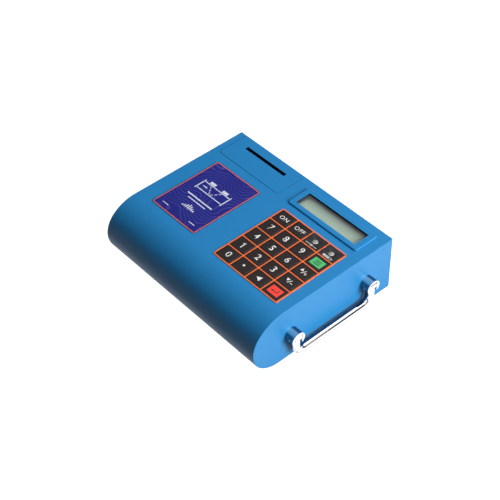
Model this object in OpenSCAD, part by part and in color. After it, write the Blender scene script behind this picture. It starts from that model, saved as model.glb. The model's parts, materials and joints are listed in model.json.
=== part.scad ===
// Portable ultrasonic flow meter with a panel printer and a folding carrying handle.
// It stands on its feet: +X is the handle end, -Y the rounded nose, +Z up.
// The origin is under the middle of the whole object, at the level that the feet stand on.
// The modules work from the lower front left corner of the case, and place() moves them.

/* [Case] */
// Length of the case, from end face to end face
case_l = 229.7; // [225:0.1:245]
// Depth of the case, from the front of the nose to the back
case_d = 189.15; // [188:0.05:200]
// Height of the case without its feet
case_h = 67.45; // [66:0.05:72]
// Thickness of the case walls
wall = 2.5; // [2.2:0.1:3]
// Radius of the upper curve of the nose, as a share of the height of the case
nose_top_share = 0.66; // [0.64:0.001:0.7]
// Radius of the middle curve of the nose, as a share of that height
nose_mid_share = 0.46; // [0.44:0.001:0.48]
// Radius of the lower curve of the nose, as a share of that height
nose_low_share = 0.4952; // [0.47:0.0001:0.5]
// Radius of the long edges at the back
back_r = 1; // [0.5:0.1:2.1]
// Radius of the edges round both end faces
end_round = 0.6; // [0.5:0.1:1.5]
// Radius of the upright edges at the back
corner_r = 1.8; // [1.6:0.1:3]

/* [Base] */
// Thickness of the bottom cover
plate_t = 1.5; // [1:0.1:1.8]
// Distance from the sides and the back of the case to the bottom cover
plate_edge = 6; // [5:0.1:7]
// Distance from the front of the case to the bottom cover
plate_front = 42; // [40:0.5:44]
// Width of the ledge that carries the bottom cover
ledge_w = 8; // [7:0.1:9]
// Radius of the screws of the bottom cover
screw_r = 1.5; // [1.2:0.1:1.7]
// Radius of their countersunk heads
screw_head_r = 2.9; // [2.4:0.1:3.2]
// Length of their shanks above the heads
screw_l = 10; // [7:0.5:11]
// Height of the screw bosses
boss_h = 12.5; // [12:0.5:15]
// Radius of the rubber feet
foot_r = 7; // [5:0.1:8]
// How much narrower the feet are where they stand
foot_taper = 1; // [0.5:0.1:2]
// Height of the rubber feet
foot_h = 3; // [2:0.1:5]
// Radius of the plug on top of each foot
foot_plug_r = 2.4; // [2:0.1:3]
// Distance from the ends of the case to the feet
foot_inset_x = 30; // [25:0.5:32]
// Distance from the back of the case to the rear feet
foot_inset_y = 30; // [25:0.5:32]
// Distance from the front of the case to the front feet
foot_front = 60; // [56:0.5:64]

/* [Display] */
// Distance from the display window to the right end
display_end = 19.12; // [18:0.02:21]
// Width of the display window
display_w = 85; // [82:0.5:87]
// Depth of the display window
display_d = 19.35; // [18.6:0.05:20]
// Distance from the back of the case to the display window
display_back = 16.22; // [15.8:0.02:17]
// Width of the display frame on the case beside the window
bezel_side = 7.4; // [6:0.1:8]
// Width of the display frame before and behind the window
bezel_end = 6; // [5:0.1:6.5]
// Height of the display frame over the case
bezel_h = 2; // [1:0.1:3]
// How much the display frame draws in towards its top
bezel_draft = 0.8; // [0.3:0.1:1.2]
// Corner radius of the display frame
bezel_r = 3; // [2:0.1:4]
// How far the skirt of the display frame reaches past the opening
skirt_reach = 2.5; // [2:0.1:3]
// Thickness of the clear window
window_t = 1.5; // [1:0.1:2]
// How far the window reaches past the opening
window_lap = 1.2; // [0.8:0.1:1.4]
// How far the metal frame of the display reaches past the opening
frame_lap = 4.5; // [4:0.1:5]
// Height of the metal frame of the display
frame_h = 5; // [4:0.1:6]
// Sheet thickness of the metal frame
frame_t = 0.8; // [0.8:0.1:1.2]
// How far the display board reaches past the window at each side
display_board_side = 11.5; // [11:0.1:13]
// How far the display board reaches past the window at the front and the back
display_board_end = 8.85; // [8.5:0.05:9.5]
// Thickness of the circuit boards
board_t = 1.6; // [1:0.1:2]
// Radius of the spacers that hold the display board
spacer_r = 2.2; // [1.8:0.1:2.3]

/* [Keypad] */
// Distance from the keypad to the right end
keypad_end = 13.86; // [13:0.01:15]
// How far the keypad starts behind the curve of the nose
keypad_setback = 2.65; // [1:0.05:4]
// Width of the keypad
keypad_w = 92.98; // [92:0.01:95]
// Distance from the keypad to the display frame
keypad_gap = 9.5; // [9:0.1:11]
// Width of the lines between the keys
line_w = 1.1; // [0.8:0.1:2]
// Width of the plain rim round the keypad
keypad_rim = 0.3; // [0.2:0.1:1]
// Corner radius of the keypad
keypad_r = 2; // [1:0.1:4]
// Depth of the recess under the keypad
recess_t = 1.4; // [1.2:0.1:1.6]
// How far the keypad stands over the case
keypad_over = 0.8; // [0.5:0.1:1.2]
// Thickness of the switch film
film_t = 0.5; // [0.3:0.1:0.6]
// Height of the snap domes
dome_h = 0.4; // [0.3:0.05:0.5]
// Radius of the snap domes
dome_r = 5; // [4:0.1:6]
// Travel of a key
key_travel = 0.4; // [0.3:0.05:0.5]
// How far a key lies below the lines round it
key_sink = 0.1; // [0.05:0.05:0.2]
// Corner radius of a key
key_r = 0.8; // [0.5:0.1:1.5]
// Radius of the two indicator lights
light_r = 3; // [1:0.1:4]

/* [Label] */
// Distance from the left end to the label
label_x = 20.8; // [18:0.1:22]
// How far the label starts behind the curve of the nose
label_setback = 5.95; // [4:0.05:7]
// Distance from the label to the keypad
label_side = 33.5; // [30:0.1:36]
// Distance from the label to the printer cover
label_gap = 11.8; // [9:0.1:13]
// Thickness of the label
label_t = 0.5; // [0.3:0.1:0.8]
// Corner radius of the label
label_r = 2; // [1:0.1:4]

/* [Printer cover] */
// Distance from the left end to the printer cover
cover_x = 8.34; // [7.5:0.02:9]
// Distance from the printer cover to the display frame
cover_side = 16.9; // [16:0.02:18]
// Distance from the back of the case to the front edge of the cover
cover_reach = 40.1; // [39.5:0.1:41]
// Radius of the front corners of the printer cover
cover_r = 2.5; // [1:0.1:4]
// Thickness of the printer cover
cover_t = 2.5; // [2.2:0.1:2.8]
// Width of the seam round the printer cover
seam = 0.5; // [0.3:0.05:0.6]
// Height of the hinge line over the bottom of the case
hinge_z = 34; // [32:0.5:36]
// Radius of the hinge barrel
barrel_r = 3.2; // [3:0.1:3.4]
// How far the hinge barrel stays inside the back of the case
barrel_inset = 0.2; // [0.1:0.05:0.4]
// Radius of the hinge pin
hinge_pin_r = 1.2; // [1:0.1:1.4]
// Distance from the paper slot to the sides of the cover
slot_side = 15.9; // [15.5:0.1:17.5]
// Opening of the paper slot
slot_w = 4.2; // [3.8:0.1:4.6]
// Distance from the back of the case to the paper slot
slot_back = 12.2; // [12:0.1:12.6]
// Width of the rest under the front edge of the cover
rest_w = 2.5; // [2:0.1:3]
// Thickness of that rest
rest_t = 1.5; // [1:0.1:2]

/* [Printer] */
// Distance from the sides of the cover to the printer frame
printer_side = 8.5; // [8.2:0.1:9]
// Distance from the back of the case to the rear of the printer frame
printer_back = 8.15; // [8:0.05:8.5]
// Depth of the printer frame
printer_d = 47; // [45:0.5:48]
// Distance from the top of the case down to the printer frame
printer_drop = 7.45; // [6:0.05:8.5]
// Thickness of the side plates and the floor of the printer frame
printer_t = 2; // [1.5:0.1:2.2]
// Height of the legs of the printer frame over the bottom cover
printer_leg_h = 6.5; // [5:0.1:8]
// Radius of those legs
printer_leg_r = 3; // [2:0.1:3]
// Distance from the sides of the printer frame to its legs
printer_leg_inset = 6; // [5:0.1:8]
// Radius of the platen roller
platen_r = 5; // [4.5:0.1:5.2]
// How much shorter than the paper slot the platen roller is
platen_less = 1.1; // [0.6:0.1:2]
// Radius of the platen shaft
platen_shaft_r = 2; // [1.5:0.1:2.2]
// Distance from the top of the case down to the platen
platen_drop = 15.45; // [15:0.05:15.9]
// Distance from the back of the case to the platen
platen_back = 19.65; // [19.4:0.05:19.9]
// Gap between the platen and the print head
paper_gap = 0.3; // [0.2:0.05:0.5]
// Depth of the print head
head_d = 5.7; // [5:0.1:6]
// Height of the print head
head_h = 11.5; // [10:0.1:12]
// How far the print head reaches under the platen's axis
head_drop = 4.5; // [4:0.1:5]
// Depth of the cooling grooves in the print head
head_groove = 2; // [1:0.1:3]
// Tooth size of the printer gears
tooth_size = 0.7; // [0.68:0.01:0.72]
// Teeth of the platen gear
platen_teeth = 26; // [26]
// Teeth of the motor gear
motor_teeth = 14; // [14]
// Thickness of the printer gears
gear_t = 4; // [3:0.1:4.5]
// Play between the teeth
gear_play = 0.12; // [0.08:0.01:0.2]
// Radius of the printer motor
motor_r = 7.5; // [6.5:0.1:7.6]
// Length of the printer motor
motor_l = 16; // [12:0.1:18]
// Radius of the motor shaft
motor_shaft_r = 1; // [0.8:0.1:1.2]
// Gap between the paper roll and the printer motor
roll_gap = 0.8; // [0.8:0.1:3]
// How much narrower than the paper slot the paper is
roll_less = 4.1; // [3:0.1:5]
// Radius of the hole in the paper roll
roll_hole_r = 6.5; // [5:0.1:7]
// Radius of the necks of the roll spindle
spindle_neck_r = 3; // [2:0.1:3.5]
// Height of the paper roll's axis over the printer's floor, as a share of the height up to the platen
roll_z_share = 0.571; // [0.55:0.001:0.58]
// Distance from the back of the case to the paper roll's axis
roll_back = 37.65; // [37.3:0.05:38]

/* [Handle] */
// Distance from the front of the case to the front handle post
post_front_y = 49.1; // [47:0.1:52]
// Distance from the back of the case to the rear handle post
post_rear_back = 36.95; // [34:0.05:40]
// Height of the handle posts over the bottom of the case
post_z = 31.4; // [30:0.1:33]
// Radius of a handle post
post_r = 8.2; // [7.8:0.05:9]
// Thickness of a handle post's base under its slot
post_base_t = 1.8; // [1.5:0.1:1.9]
// Radius of a post's threaded shank
shank_r = 4; // [3:0.1:4.5]
// How far the shank reaches into the case, past the wall
shank_l = 8; // [7:0.1:9]
// Width of the nut on the shank, across its corners
nut_w = 15; // [13:0.1:16]
// Thickness of the nut
nut_t = 5; // [4:0.1:6]
// Radius of the washer
washer_r = 8; // [7.5:0.1:9]
// Thickness of the washer
washer_t = 1.2; // [1:0.1:1.5]
// Radius of the handle rod
rod_r = 4.6; // [4.2:0.05:4.65]
// How much wider than the rod the eyes of the handle are, on the radius
eye_over = 0.1; // [0.05:0.05:0.15]
// How much narrower than the slot each eye is, on one side
eye_play = 0.4; // [0.3:0.05:0.6]
// Distance from the pivot down to the handle bar
handle_drop = 22.2; // [20:0.1:24]
// Bend radius of the handle rod
bend_r = 11; // [10:0.1:13]
// Radius of the cross pins
cross_pin_r = 1.5; // [1.2:0.1:1.8]

/* [Sockets] */
// Height of the sockets over the bottom of the case
socket_z = 36; // [35:0.5:38]
// Distance from the front of the case to the first transducer socket
socket_y = 50; // [48:0.5:52]
// Distance from the first transducer socket to the second
socket_spacing = 25; // [24:0.5:26]
// Distance from the second transducer socket to the charger jack
jack_spacing = 22; // [21:0.5:23]
// Distance from the charger jack to the serial port
port_spacing = 27; // [26:0.5:28]
// Radius of a transducer socket's barrel
socket_r = 6; // [5.5:0.1:6.5]
// Radius of a transducer socket's bore
socket_bore_r = 4; // [3.5:0.1:4.5]
// Radius of the charger jack's barrel
jack_r = 5; // [4.5:0.1:5.5]
// Radius of the charger jack's bore
jack_bore_r = 3; // [2.5:0.1:3.5]
// How far the sockets stand out
socket_out = 5; // [4:0.1:6]
// How far the sockets reach into the case
socket_in = 12; // [11:0.1:13]
// Depth of the sockets' bores
socket_bore_l = 9; // [8:0.1:10]
// Thickness of the sockets' flanges
flange_t = 1.5; // [1:0.1:2]
// How far a flange reaches past its barrel
flange_lap = 3; // [2:0.1:3.5]
// Width of the serial port's flange
port_w = 31; // [30:0.5:32]
// Height of the serial port's flange
port_h = 12.5; // [12:0.1:13]
// Width of the serial port's shell
port_shell_w = 17; // [16.5:0.1:18]
// Height of the serial port's shell
port_shell_h = 8.4; // [8:0.1:9]
// How much shorter the lower side of the shell is, at each end
port_slope = 1.6; // [1:0.1:2]
// Distance between two contacts of the serial port
contact_spacing = 2.77; // [2.6:0.01:2.9]
// Radius of a contact hole
contact_r = 0.6; // [0.4:0.05:0.7]
// Distance between the two jack screws of the serial port
jack_screw_spacing = 25; // [24:0.1:26]
// Width of a jack screw, across its corners
jack_screw_w = 5.2; // [4.5:0.1:5.5]

/* [Electronics] */
// Distance from the left end to the main board
board_x = 20; // [19:0.5:22]
// Distance from the main board to the right end
board_end = 28.7; // [27:0.1:36]
// Distance from the front of the case to the main board
board_y = 50; // [49:0.5:52]
// Distance from the main board to the battery
board_gap = 6; // [5:0.5:9]
// Height of the main board over the bottom of the case
board_z = 20; // [16:0.5:21]
// Distance from the edges of the main board to its standoffs
standoff_inset = 6; // [5:0.5:8]
// Radius of the standoffs
standoff_r = 3; // [2.5:0.1:3.5]
// Distance from the battery to the right end
battery_end = 20.2; // [18:0.1:22]
// Distance from the battery to the back of the case
battery_back = 20.15; // [19:0.05:22]
// Radius of a battery cell
cell_r = 11.2; // [10:0.1:11.5]
// Length of a battery cell
cell_l = 43; // [41:0.5:44]
// Number of battery cells
cells = 4; // [3:1:4]
// Thickness of the battery bracket
bracket_t = 1; // [0.8:0.1:1.2]
// Width of the battery bracket
bracket_w = 18; // [14:0.5:20]
// Length of each foot of the bracket
bracket_foot = 4.2; // [4:0.1:4.5]

/* [Hidden] */

$fn = 72;
// Facets of the small rounded corners
corner_fn = 24;
// How far a cut runs past what it cuts
overrun = 5;
// How deep a rib or boss goes into the wall that carries it
bond = 0.5;
// Gap between still pieces
fit_gap = 0.3;
// Radial gap of a turning fit
run_gap = 0.05;
// Radial gap of a pin or shaft that doesn't turn in its hole
hold_gap = 0.02;
// Facets of each arc of the nose, and of each long edge at the back
nose_steps = 10;
corner_steps = 4;
// Steps of the rounding at the end faces, in degrees
round_step = 30;

// Colours
case_blue = [0.24, 0.53, 0.77];
plated = [0.80, 0.81, 0.83];
dark_plastic = [0.08, 0.08, 0.09];
key_black = [0.13, 0.13, 0.15];
line_orange = [0.95, 0.44, 0.24];
board_green = [0.10, 0.36, 0.18];
rubber_black = [0.06, 0.06, 0.06];
steel = [0.62, 0.63, 0.66];

// Nose: three arcs that meet without a corner
nose_top_r = nose_top_share * case_h;
nose_mid_r = nose_mid_share * case_h;
nose_low_r = nose_low_share * case_h;
nose_top_z = case_h - nose_top_r;
nose_rise = nose_low_r - nose_top_z;
nose_top_y = nose_mid_r + sqrt(pow(nose_top_r - nose_mid_r, 2) - pow(nose_rise, 2));
nose_join_a = atan2(nose_rise, nose_mid_r - nose_top_y);

// Base
screw_front = plate_front + ledge_w / 2;
boss_r = ledge_w / 2 - fit_gap;
screw_places = [for (x = [plate_edge + ledge_w / 2, case_l / 2, case_l - plate_edge - ledge_w / 2],
    y = [screw_front, case_d - plate_edge - ledge_w / 2]) [x, y]];
foot_places = [for (x = [foot_inset_x, case_l - foot_inset_x],
    y = [foot_front, case_d - foot_inset_y]) [x, y]];

// Display
// Gap round the window in its pocket
window_gap = 0.1;
display_x = case_l - display_end - display_w;
display_y = case_d - display_back - display_d;
display_board_w = display_w + 2 * display_board_side;
display_board_d = display_d + 2 * display_board_end;
display_cx = display_x + display_w / 2;
display_cy = display_y + display_d / 2;
window_z = case_h - window_t;
frame_z = window_z - frame_h;
display_board_z = frame_z - board_t;

// Keypad
column_count = 4;
row_count = 5;
keypad_y = nose_top_y + keypad_setback + line_w / 2 + keypad_rim;
keypad_x = case_l - keypad_end - keypad_w + line_w / 2 + keypad_rim;
keypad_d = display_y - bezel_end - keypad_gap - keypad_y + line_w / 2 + keypad_rim;
column_w = (keypad_w - line_w - 2 * keypad_rim) / column_count;
row_d = (keypad_d - line_w - 2 * keypad_rim) / row_count;
recess_z = case_h - recess_t;
film_top = recess_z + film_t;
keypad_top = case_h + keypad_over;
key_z = film_top + dome_h + key_travel + run_gap;
key_top = keypad_top - key_sink;
cell_w = column_w - line_w;
cell_d = row_d - line_w;
// Gap between a key and the lines round it
key_gap = 0.15;
KEYS = [["key_on", 0, 0], ["key_off", 1, 0],
    ["key_7", 0, 1], ["key_8", 1, 1], ["key_9", 2, 1], ["key_menu", 3, 1],
    ["key_4", 0, 2], ["key_5", 1, 2], ["key_6", 2, 2], ["key_up", 3, 2],
    ["key_1", 0, 3], ["key_2", 1, 3], ["key_3", 2, 3], ["key_down", 3, 3],
    ["key_0", 0, 4], ["key_point", 1, 4], ["key_back", 2, 4], ["key_enter", 3, 4]];
LIGHTS = [[2, 0], [3, 0]];

// Printer cover and its hinge
cover_y = case_d - cover_reach;
cover_w = display_x - bezel_side - cover_side - cover_x;
slot_l = cover_w - 2 * slot_side;
hinge_y = case_d - barrel_r - barrel_inset;
slot_x = cover_x + slot_side;
lug_w = cover_x - seam - wall - fit_gap;
lug_right_x = cover_x + cover_w + seam + fit_gap;

// Label
label_y = nose_top_y + label_setback;
label_w = keypad_x - line_w / 2 - keypad_rim - label_side - label_x;
label_d = cover_y - label_gap - label_y;

// Printer
printer_x = cover_x + printer_side;
printer_w = cover_w - 2 * printer_side;
printer_y = case_d - printer_back - printer_d;
printer_top = case_h - printer_drop;
floor_z = plate_t + printer_leg_h;
right_plate_x = printer_x + printer_w - printer_t;
platen_y = case_d - platen_back;
platen_z = case_h - platen_drop;
platen_l = slot_l - platen_less;
platen_room = platen_z - floor_z - printer_t;
platen_x = printer_x + (printer_w - platen_l) / 2;
head_y = platen_y + platen_r + paper_gap;
gear_gap = tooth_size * (platen_teeth + motor_teeth) / 2;
// Direction from the platen to the motor, in degrees
motor_a = -70;
motor_y = platen_y + gear_gap * cos(motor_a);
motor_z = platen_z + gear_gap * sin(motor_a);
// Play of the platen shaft along its axis, at each side plate
hub_gap = 2 * fit_gap;
gear_x = right_plate_x + printer_t + hub_gap;
roll_y = case_d - roll_back;
roll_z = floor_z + printer_t + roll_z_share * platen_room;
roll_r = norm([roll_y - motor_y, roll_z - motor_z]) - motor_r - roll_gap;
roll_w = slot_l - roll_less;
roll_x = printer_x + (printer_w - roll_w) / 2;
spindle_r = roll_hole_r - fit_gap;

// Handle
eye_r = rod_r + eye_over;
pivot_out = post_base_t + fit_gap + eye_r;
pivot_x = case_l + pivot_out;
post_l = pivot_out + rod_r;
post_slot_w = 2 * (rod_r + eye_play - eye_over);
eye_w = post_slot_w - 2 * eye_play;
slot_rise = eye_r + fit_gap;
bar_z = post_z - handle_drop;
// Middle of the whole object along X, from the sockets to the handle
middle_x = (pivot_x + eye_r - socket_out) / 2;
post_places = [post_front_y, case_d - post_rear_back];
post_spacing = post_places[1] - post_front_y;

// Sockets
port_y = socket_y + socket_spacing + jack_spacing + port_spacing;
port_body_w = port_shell_w + port_slope;

// Electronics
cell_spacing = 2 * cell_r + fit_gap;
battery_w = cells * cell_spacing - fit_gap;
battery_x = case_l - battery_end - battery_w;
battery_y = case_d - battery_back - cell_l;
board_w = case_l - board_end - board_x;
board_d = battery_y - board_gap - board_y;
board_places = [for (x = [board_x + standoff_inset, board_x + board_w - standoff_inset],
    y = [board_y + standoff_inset, board_y + board_d - standoff_inset]) [x, y]];

module place() {
    translate([-middle_x, -case_d / 2, foot_h]) children();
}

module block(at, size) {
    translate(at) cube(size);
}

module rod_x(at, r, len) {
    translate(at) rotate([0, 90, 0]) cylinder(r = r, h = len);
}

module rod_y(at, r, len) {
    translate(at) rotate([-90, 0, 0]) cylinder(r = r, h = len);
}

module rod_z(at, r, len) {
    translate(at) cylinder(r = r, h = len);
}

// A profile drawn in Y and Z, drawn out along X
module along_x(x, len) {
    translate([x, 0, 0]) rotate([90, 0, 90]) linear_extrude(height = len) children();
}

module rounded_plate(at, size, r) {
    translate(at) linear_extrude(height = size[2]) translate([r, r])
        offset(r = r, $fn = corner_fn) square([size[0] - 2 * r, size[1] - 2 * r]);
}

// Points of an arc round a centre, without its first one
function arc(centre, r, from, to, steps) = [for (i = [1 : steps])
    let (a = from + (to - from) * i / steps) centre + r * [cos(a), sin(a)]];

// Points of a corner at the back, which is square where the profile lies deeper than its radius
function back_corner(centre, from, inset) = inset < back_r
    ? concat([centre + (back_r - inset) * [cos(from), sin(from)]],
        arc(centre, back_r - inset, from, from - 90, corner_steps))
    : [centre + (back_r - inset) * [1, from > 0 ? 1 : -1]];

// The side view of the case, drawn in by a distance
module case_profile(inset) {
    polygon(concat(
        arc([nose_low_r, nose_low_r], nose_low_r - inset, 270, 180, nose_steps),
        arc([nose_mid_r, nose_low_r], nose_mid_r - inset, 180, nose_join_a, nose_steps),
        arc([nose_top_y, nose_top_z], nose_top_r - inset, nose_join_a, 90, nose_steps),
        back_corner([case_d - back_r, case_h - back_r], 90, inset),
        back_corner([case_d - back_r, back_r], 0, inset),
        [[nose_low_r, inset]]));
}

module case_outer() {
    intersection() {
        hull()
            for (a = [0 : round_step : 90]) {
                x = end_round * (1 - cos(a));
                along_x(x, case_l - 2 * x) case_profile(end_round * (1 - sin(a)));
            }
        rounded_plate([0, -case_d, -overrun], [case_l, 2 * case_d, case_h + 2 * overrun], corner_r);
    }
}

module case_inner() {
    along_x(wall, case_l - 2 * wall) case_profile(wall);
}

// Case pieces

module hinge_lugs() {
    for (x = [wall - bond, lug_right_x])
        block([x, hinge_y - barrel_r, hinge_z - barrel_r],
            [lug_w + bond, case_d - wall + bond - hinge_y + barrel_r, 2 * barrel_r]);
}

module cover_rest() {
    top = case_h - cover_t - fit_gap;
    low = case_h - wall - fit_gap - rest_t;
    edge = cover_y - seam;
    along_x(cover_x, cover_w)
        polygon([[edge - rest_w, low], [cover_y + rest_w, low], [cover_y + rest_w, top],
            [edge, top], [edge, case_h - wall + bond], [edge - rest_w, case_h - wall + bond]]);
}

module base_cuts() {
    inner = plate_edge + ledge_w;
    block([plate_edge - fit_gap, plate_front - fit_gap, -overrun],
        [case_l - 2 * (plate_edge - fit_gap),
            case_d - plate_edge - plate_front + 2 * fit_gap, plate_t + overrun]);
    block([inner, plate_front + ledge_w, -overrun],
        [case_l - 2 * inner, case_d - inner - plate_front - ledge_w, wall + overrun]);
    for (p = screw_places) rod_z([p[0], p[1], -overrun], screw_r + run_gap,
        overrun + plate_t + screw_l + fit_gap);
}

module top_cuts() {
    display_layer(case_h - overrun, 2 * overrun, skirt_reach + fit_gap);
    display_layer(window_z - overrun, overrun, frame_lap + fit_gap);
    rounded_plate([keypad_x - line_w / 2 - keypad_rim, keypad_y - line_w / 2 - keypad_rim, recess_z],
        [keypad_w, keypad_d, overrun], keypad_r);
    rounded_plate([cover_x - seam, cover_y - seam, hinge_z - barrel_r - seam],
        [cover_w + 2 * seam, case_d, case_h], cover_r + seam);
}

module end_cuts() {
    for (y = post_places) rod_x([case_l - wall - overrun, y, post_z], shank_r + run_gap, 3 * overrun);
    for (s = [[0, socket_r], [socket_spacing, socket_r], [socket_spacing + jack_spacing, jack_r]])
        rod_x([-overrun, socket_y + s[0], socket_z], s[1] + run_gap, 3 * overrun);
    block([-overrun, port_y - port_body_w / 2 - fit_gap, socket_z - port_shell_h / 2 - fit_gap],
        [3 * overrun, port_body_w + 2 * fit_gap, port_shell_h + 2 * fit_gap]);
}

module upper_housing() color(case_blue) place() {
    difference() {
        union() {
            difference() {
                case_outer();
                case_inner();
            }
            for (p = screw_places) rod_z([p[0], p[1], plate_t], boss_r, boss_h);
            hinge_lugs();
        }
        base_cuts();
        top_cuts();
        end_cuts();
        rod_x([wall, hinge_y, hinge_z], hinge_pin_r + hold_gap, lug_right_x + lug_w + bond - wall);
    }
    cover_rest();
}

module bottom_cover() color(steel) place() difference() {
    block([plate_edge, plate_front, 0],
        [case_l - 2 * plate_edge, case_d - plate_edge - plate_front, plate_t]);
    for (p = screw_places) {
        rod_z([p[0], p[1], -overrun], screw_r + run_gap, 2 * overrun);
        translate([p[0], p[1], 0])
            cylinder(r1 = screw_head_r + run_gap, r2 = screw_r + run_gap, h = plate_t);
    }
    for (p = foot_places) rod_z([p[0], p[1], -overrun], foot_plug_r + run_gap, 2 * overrun);
}

module bottom_screws() color(steel) place() for (p = screw_places) {
    translate([p[0], p[1], 0]) cylinder(r1 = screw_head_r, r2 = screw_r, h = plate_t);
    rod_z([p[0], p[1], plate_t], screw_r, screw_l);
}

module rubber_feet() color(rubber_black) place() for (p = foot_places) {
    translate([p[0], p[1], -foot_h]) cylinder(r1 = foot_r - foot_taper, r2 = foot_r, h = foot_h);
    rod_z([p[0], p[1], 0], foot_plug_r, plate_t);
}

// Display pieces

module display_bezel() color(case_blue) place() {
    x = display_x - bezel_side;
    y = display_y - bezel_end;
    w = display_w + 2 * bezel_side;
    d = display_d + 2 * bezel_end;
    skin = bezel_draft / 2;
    difference() {
        union() {
            hull() {
                rounded_plate([x, y, case_h], [w, d, bezel_h - bezel_draft], bezel_r);
                rounded_plate([x + bezel_draft, y + bezel_draft, case_h],
                    [w - 2 * bezel_draft, d - 2 * bezel_draft, bezel_h], bezel_r - skin);
            }
            display_layer(window_z, window_t + skin, skirt_reach);
        }
        display_layer(case_h - overrun, 2 * overrun, 0);
        display_layer(window_z - overrun, window_t + overrun, window_lap + window_gap);
    }
}

// A plate under the display opening, which reaches past it on every side
module display_layer(z, t, lap) {
    block([display_x - lap, display_y - lap, z], [display_w + 2 * lap, display_d + 2 * lap, t]);
}

module display_window() color([0.82, 0.88, 0.86], 0.4) place()
    display_layer(window_z, window_t, window_lap);

module display_panel() color([0.62, 0.69, 0.60]) place()
    display_layer(frame_z, frame_h - frame_t, frame_lap - frame_t - fit_gap);

module display_frame() color(dark_plastic) place() difference() {
    display_layer(frame_z, frame_h, frame_lap);
    display_layer(frame_z - overrun, frame_h - frame_t + overrun, frame_lap - frame_t);
    display_layer(frame_z - overrun, 2 * overrun + frame_h, 0);
}

module at_spacers() {
    inset = spacer_r + frame_t;
    for (x = [-1, 1], y = [-1, 1])
        translate([display_cx + x * (display_board_w / 2 - inset),
            display_cy + y * (display_board_d / 2 - inset), 0]) children();
}

module display_board() color(board_green) place() difference() {
    block([display_cx - display_board_w / 2, display_cy - display_board_d / 2, display_board_z],
        [display_board_w, display_board_d, board_t]);
    at_spacers() rod_z([0, 0, 0], spacer_r / 2, case_h);
}

module display_spacers() color(plated) place()
    at_spacers() rod_z([0, 0, frame_z], spacer_r, case_h - wall - frame_z);

// Keypad pieces

// Moves to the lower front left corner of a cell of the keypad, counted from the rear left
module at_cell(column, row) {
    translate([keypad_x + column * column_w + line_w / 2,
        keypad_y + (row_count - 1 - row) * row_d + line_w / 2, 0]) children();
}

module at_cell_centre(column, row) {
    at_cell(column, row) translate([cell_w / 2, cell_d / 2, 0]) children();
}

module keypad_overlay() color(line_orange) place() difference() {
    rounded_plate([keypad_x - line_w / 2 - keypad_rim + fit_gap / 2,
        keypad_y - line_w / 2 - keypad_rim + fit_gap / 2, film_top],
        [keypad_w - fit_gap, keypad_d - fit_gap, keypad_top - film_top], keypad_r);
    for (k = KEYS) at_cell(k[1], k[2]) block([0, 0, recess_z], [cell_w, cell_d, overrun]);
    for (l = LIGHTS) {
        at_cell(l[0], l[1]) block([0, 0, key_top], [cell_w, cell_d, overrun]);
        at_cell_centre(l[0], l[1]) rod_z([0, 0, recess_z], light_r + fit_gap / 2, overrun);
    }
}

module switch_film() color(dark_plastic) place()
    rounded_plate([keypad_x - line_w / 2 - keypad_rim + fit_gap / 2,
        keypad_y - line_w / 2 - keypad_rim + fit_gap / 2, recess_z],
        [keypad_w - fit_gap, keypad_d - fit_gap, film_t], keypad_r);

module key_domes() color(plated) place()
    for (k = KEYS) at_cell_centre(k[1], k[2]) translate([0, 0, film_top])
        cylinder(r1 = dome_r, r2 = dome_r / 2, h = dome_h);

module key(k) {
    hue = k[0] == "key_menu" ? [0.30, 0.72, 0.42] : k[0] == "key_enter" ? [0.93, 0.26, 0.20] : key_black;
    color(hue) place() at_cell(k[1], k[2])
        rounded_plate([key_gap, key_gap, key_z],
            [cell_w - 2 * key_gap, cell_d - 2 * key_gap, key_top - key_z], key_r);
}

module light(place_no) color([0.55, 0.56, 0.56]) place() {
    tip = light_r / 8;
    at_cell_centre(LIGHTS[place_no][0], LIGHTS[place_no][1]) {
        rod_z([0, 0, film_top], light_r, key_top - film_top);
        translate([0, 0, key_top]) cylinder(r1 = light_r, r2 = light_r / 2, h = tip);
    }
}

module name_label() color([0.20, 0.20, 0.56]) place()
    rounded_plate([label_x, label_y, case_h], [label_w, label_d, label_t], label_r);

// Printer cover and printer

module printer_cover() color(case_blue) place() difference() {
    union() {
        intersection() {
            along_x(cover_x, cover_w) difference() {
                intersection() {
                    case_profile(0);
                    translate([cover_y, hinge_z]) square([case_d, case_h]);
                }
                case_profile(cover_t);
            }
            rounded_plate([cover_x, cover_y, hinge_z], [cover_w, case_d, case_h], cover_r);
        }
        rod_x([cover_x, hinge_y, hinge_z], barrel_r, cover_w);
    }
    block([slot_x, case_d - slot_back - slot_w, case_h - overrun], [slot_l, slot_w, 2 * overrun]);
    rod_x([cover_x - overrun, hinge_y, hinge_z], hinge_pin_r + run_gap, cover_w + 2 * overrun);
}

module cover_hinge_pin() color(steel) place()
    rod_x([wall + fit_gap, hinge_y, hinge_z], hinge_pin_r, lug_right_x + lug_w - wall - 2 * fit_gap);

module printer_chassis() color(dark_plastic) place() difference() {
    legs = [printer_leg_inset, printer_w - printer_leg_inset];
    union() {
        block([printer_x, printer_y, floor_z], [printer_w, printer_d, printer_t]);
        for (x = [printer_x, right_plate_x])
            block([x, printer_y, floor_z], [printer_t, printer_d, printer_top - floor_z]);
        for (x = legs, y = [printer_leg_inset, printer_d - 2 * printer_leg_inset])
            rod_z([printer_x + x, printer_y + y, plate_t], printer_leg_r, printer_leg_h + bond);
    }
    rod_x([printer_x - overrun, platen_y, platen_z], platen_shaft_r + run_gap, printer_w + 2 * overrun);
    rod_x([printer_x - overrun, roll_y, roll_z], spindle_neck_r + hold_gap, printer_w + 2 * overrun);
    rod_x([right_plate_x - overrun, motor_y, motor_z], 2 * motor_shaft_r, 3 * overrun);
}

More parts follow.
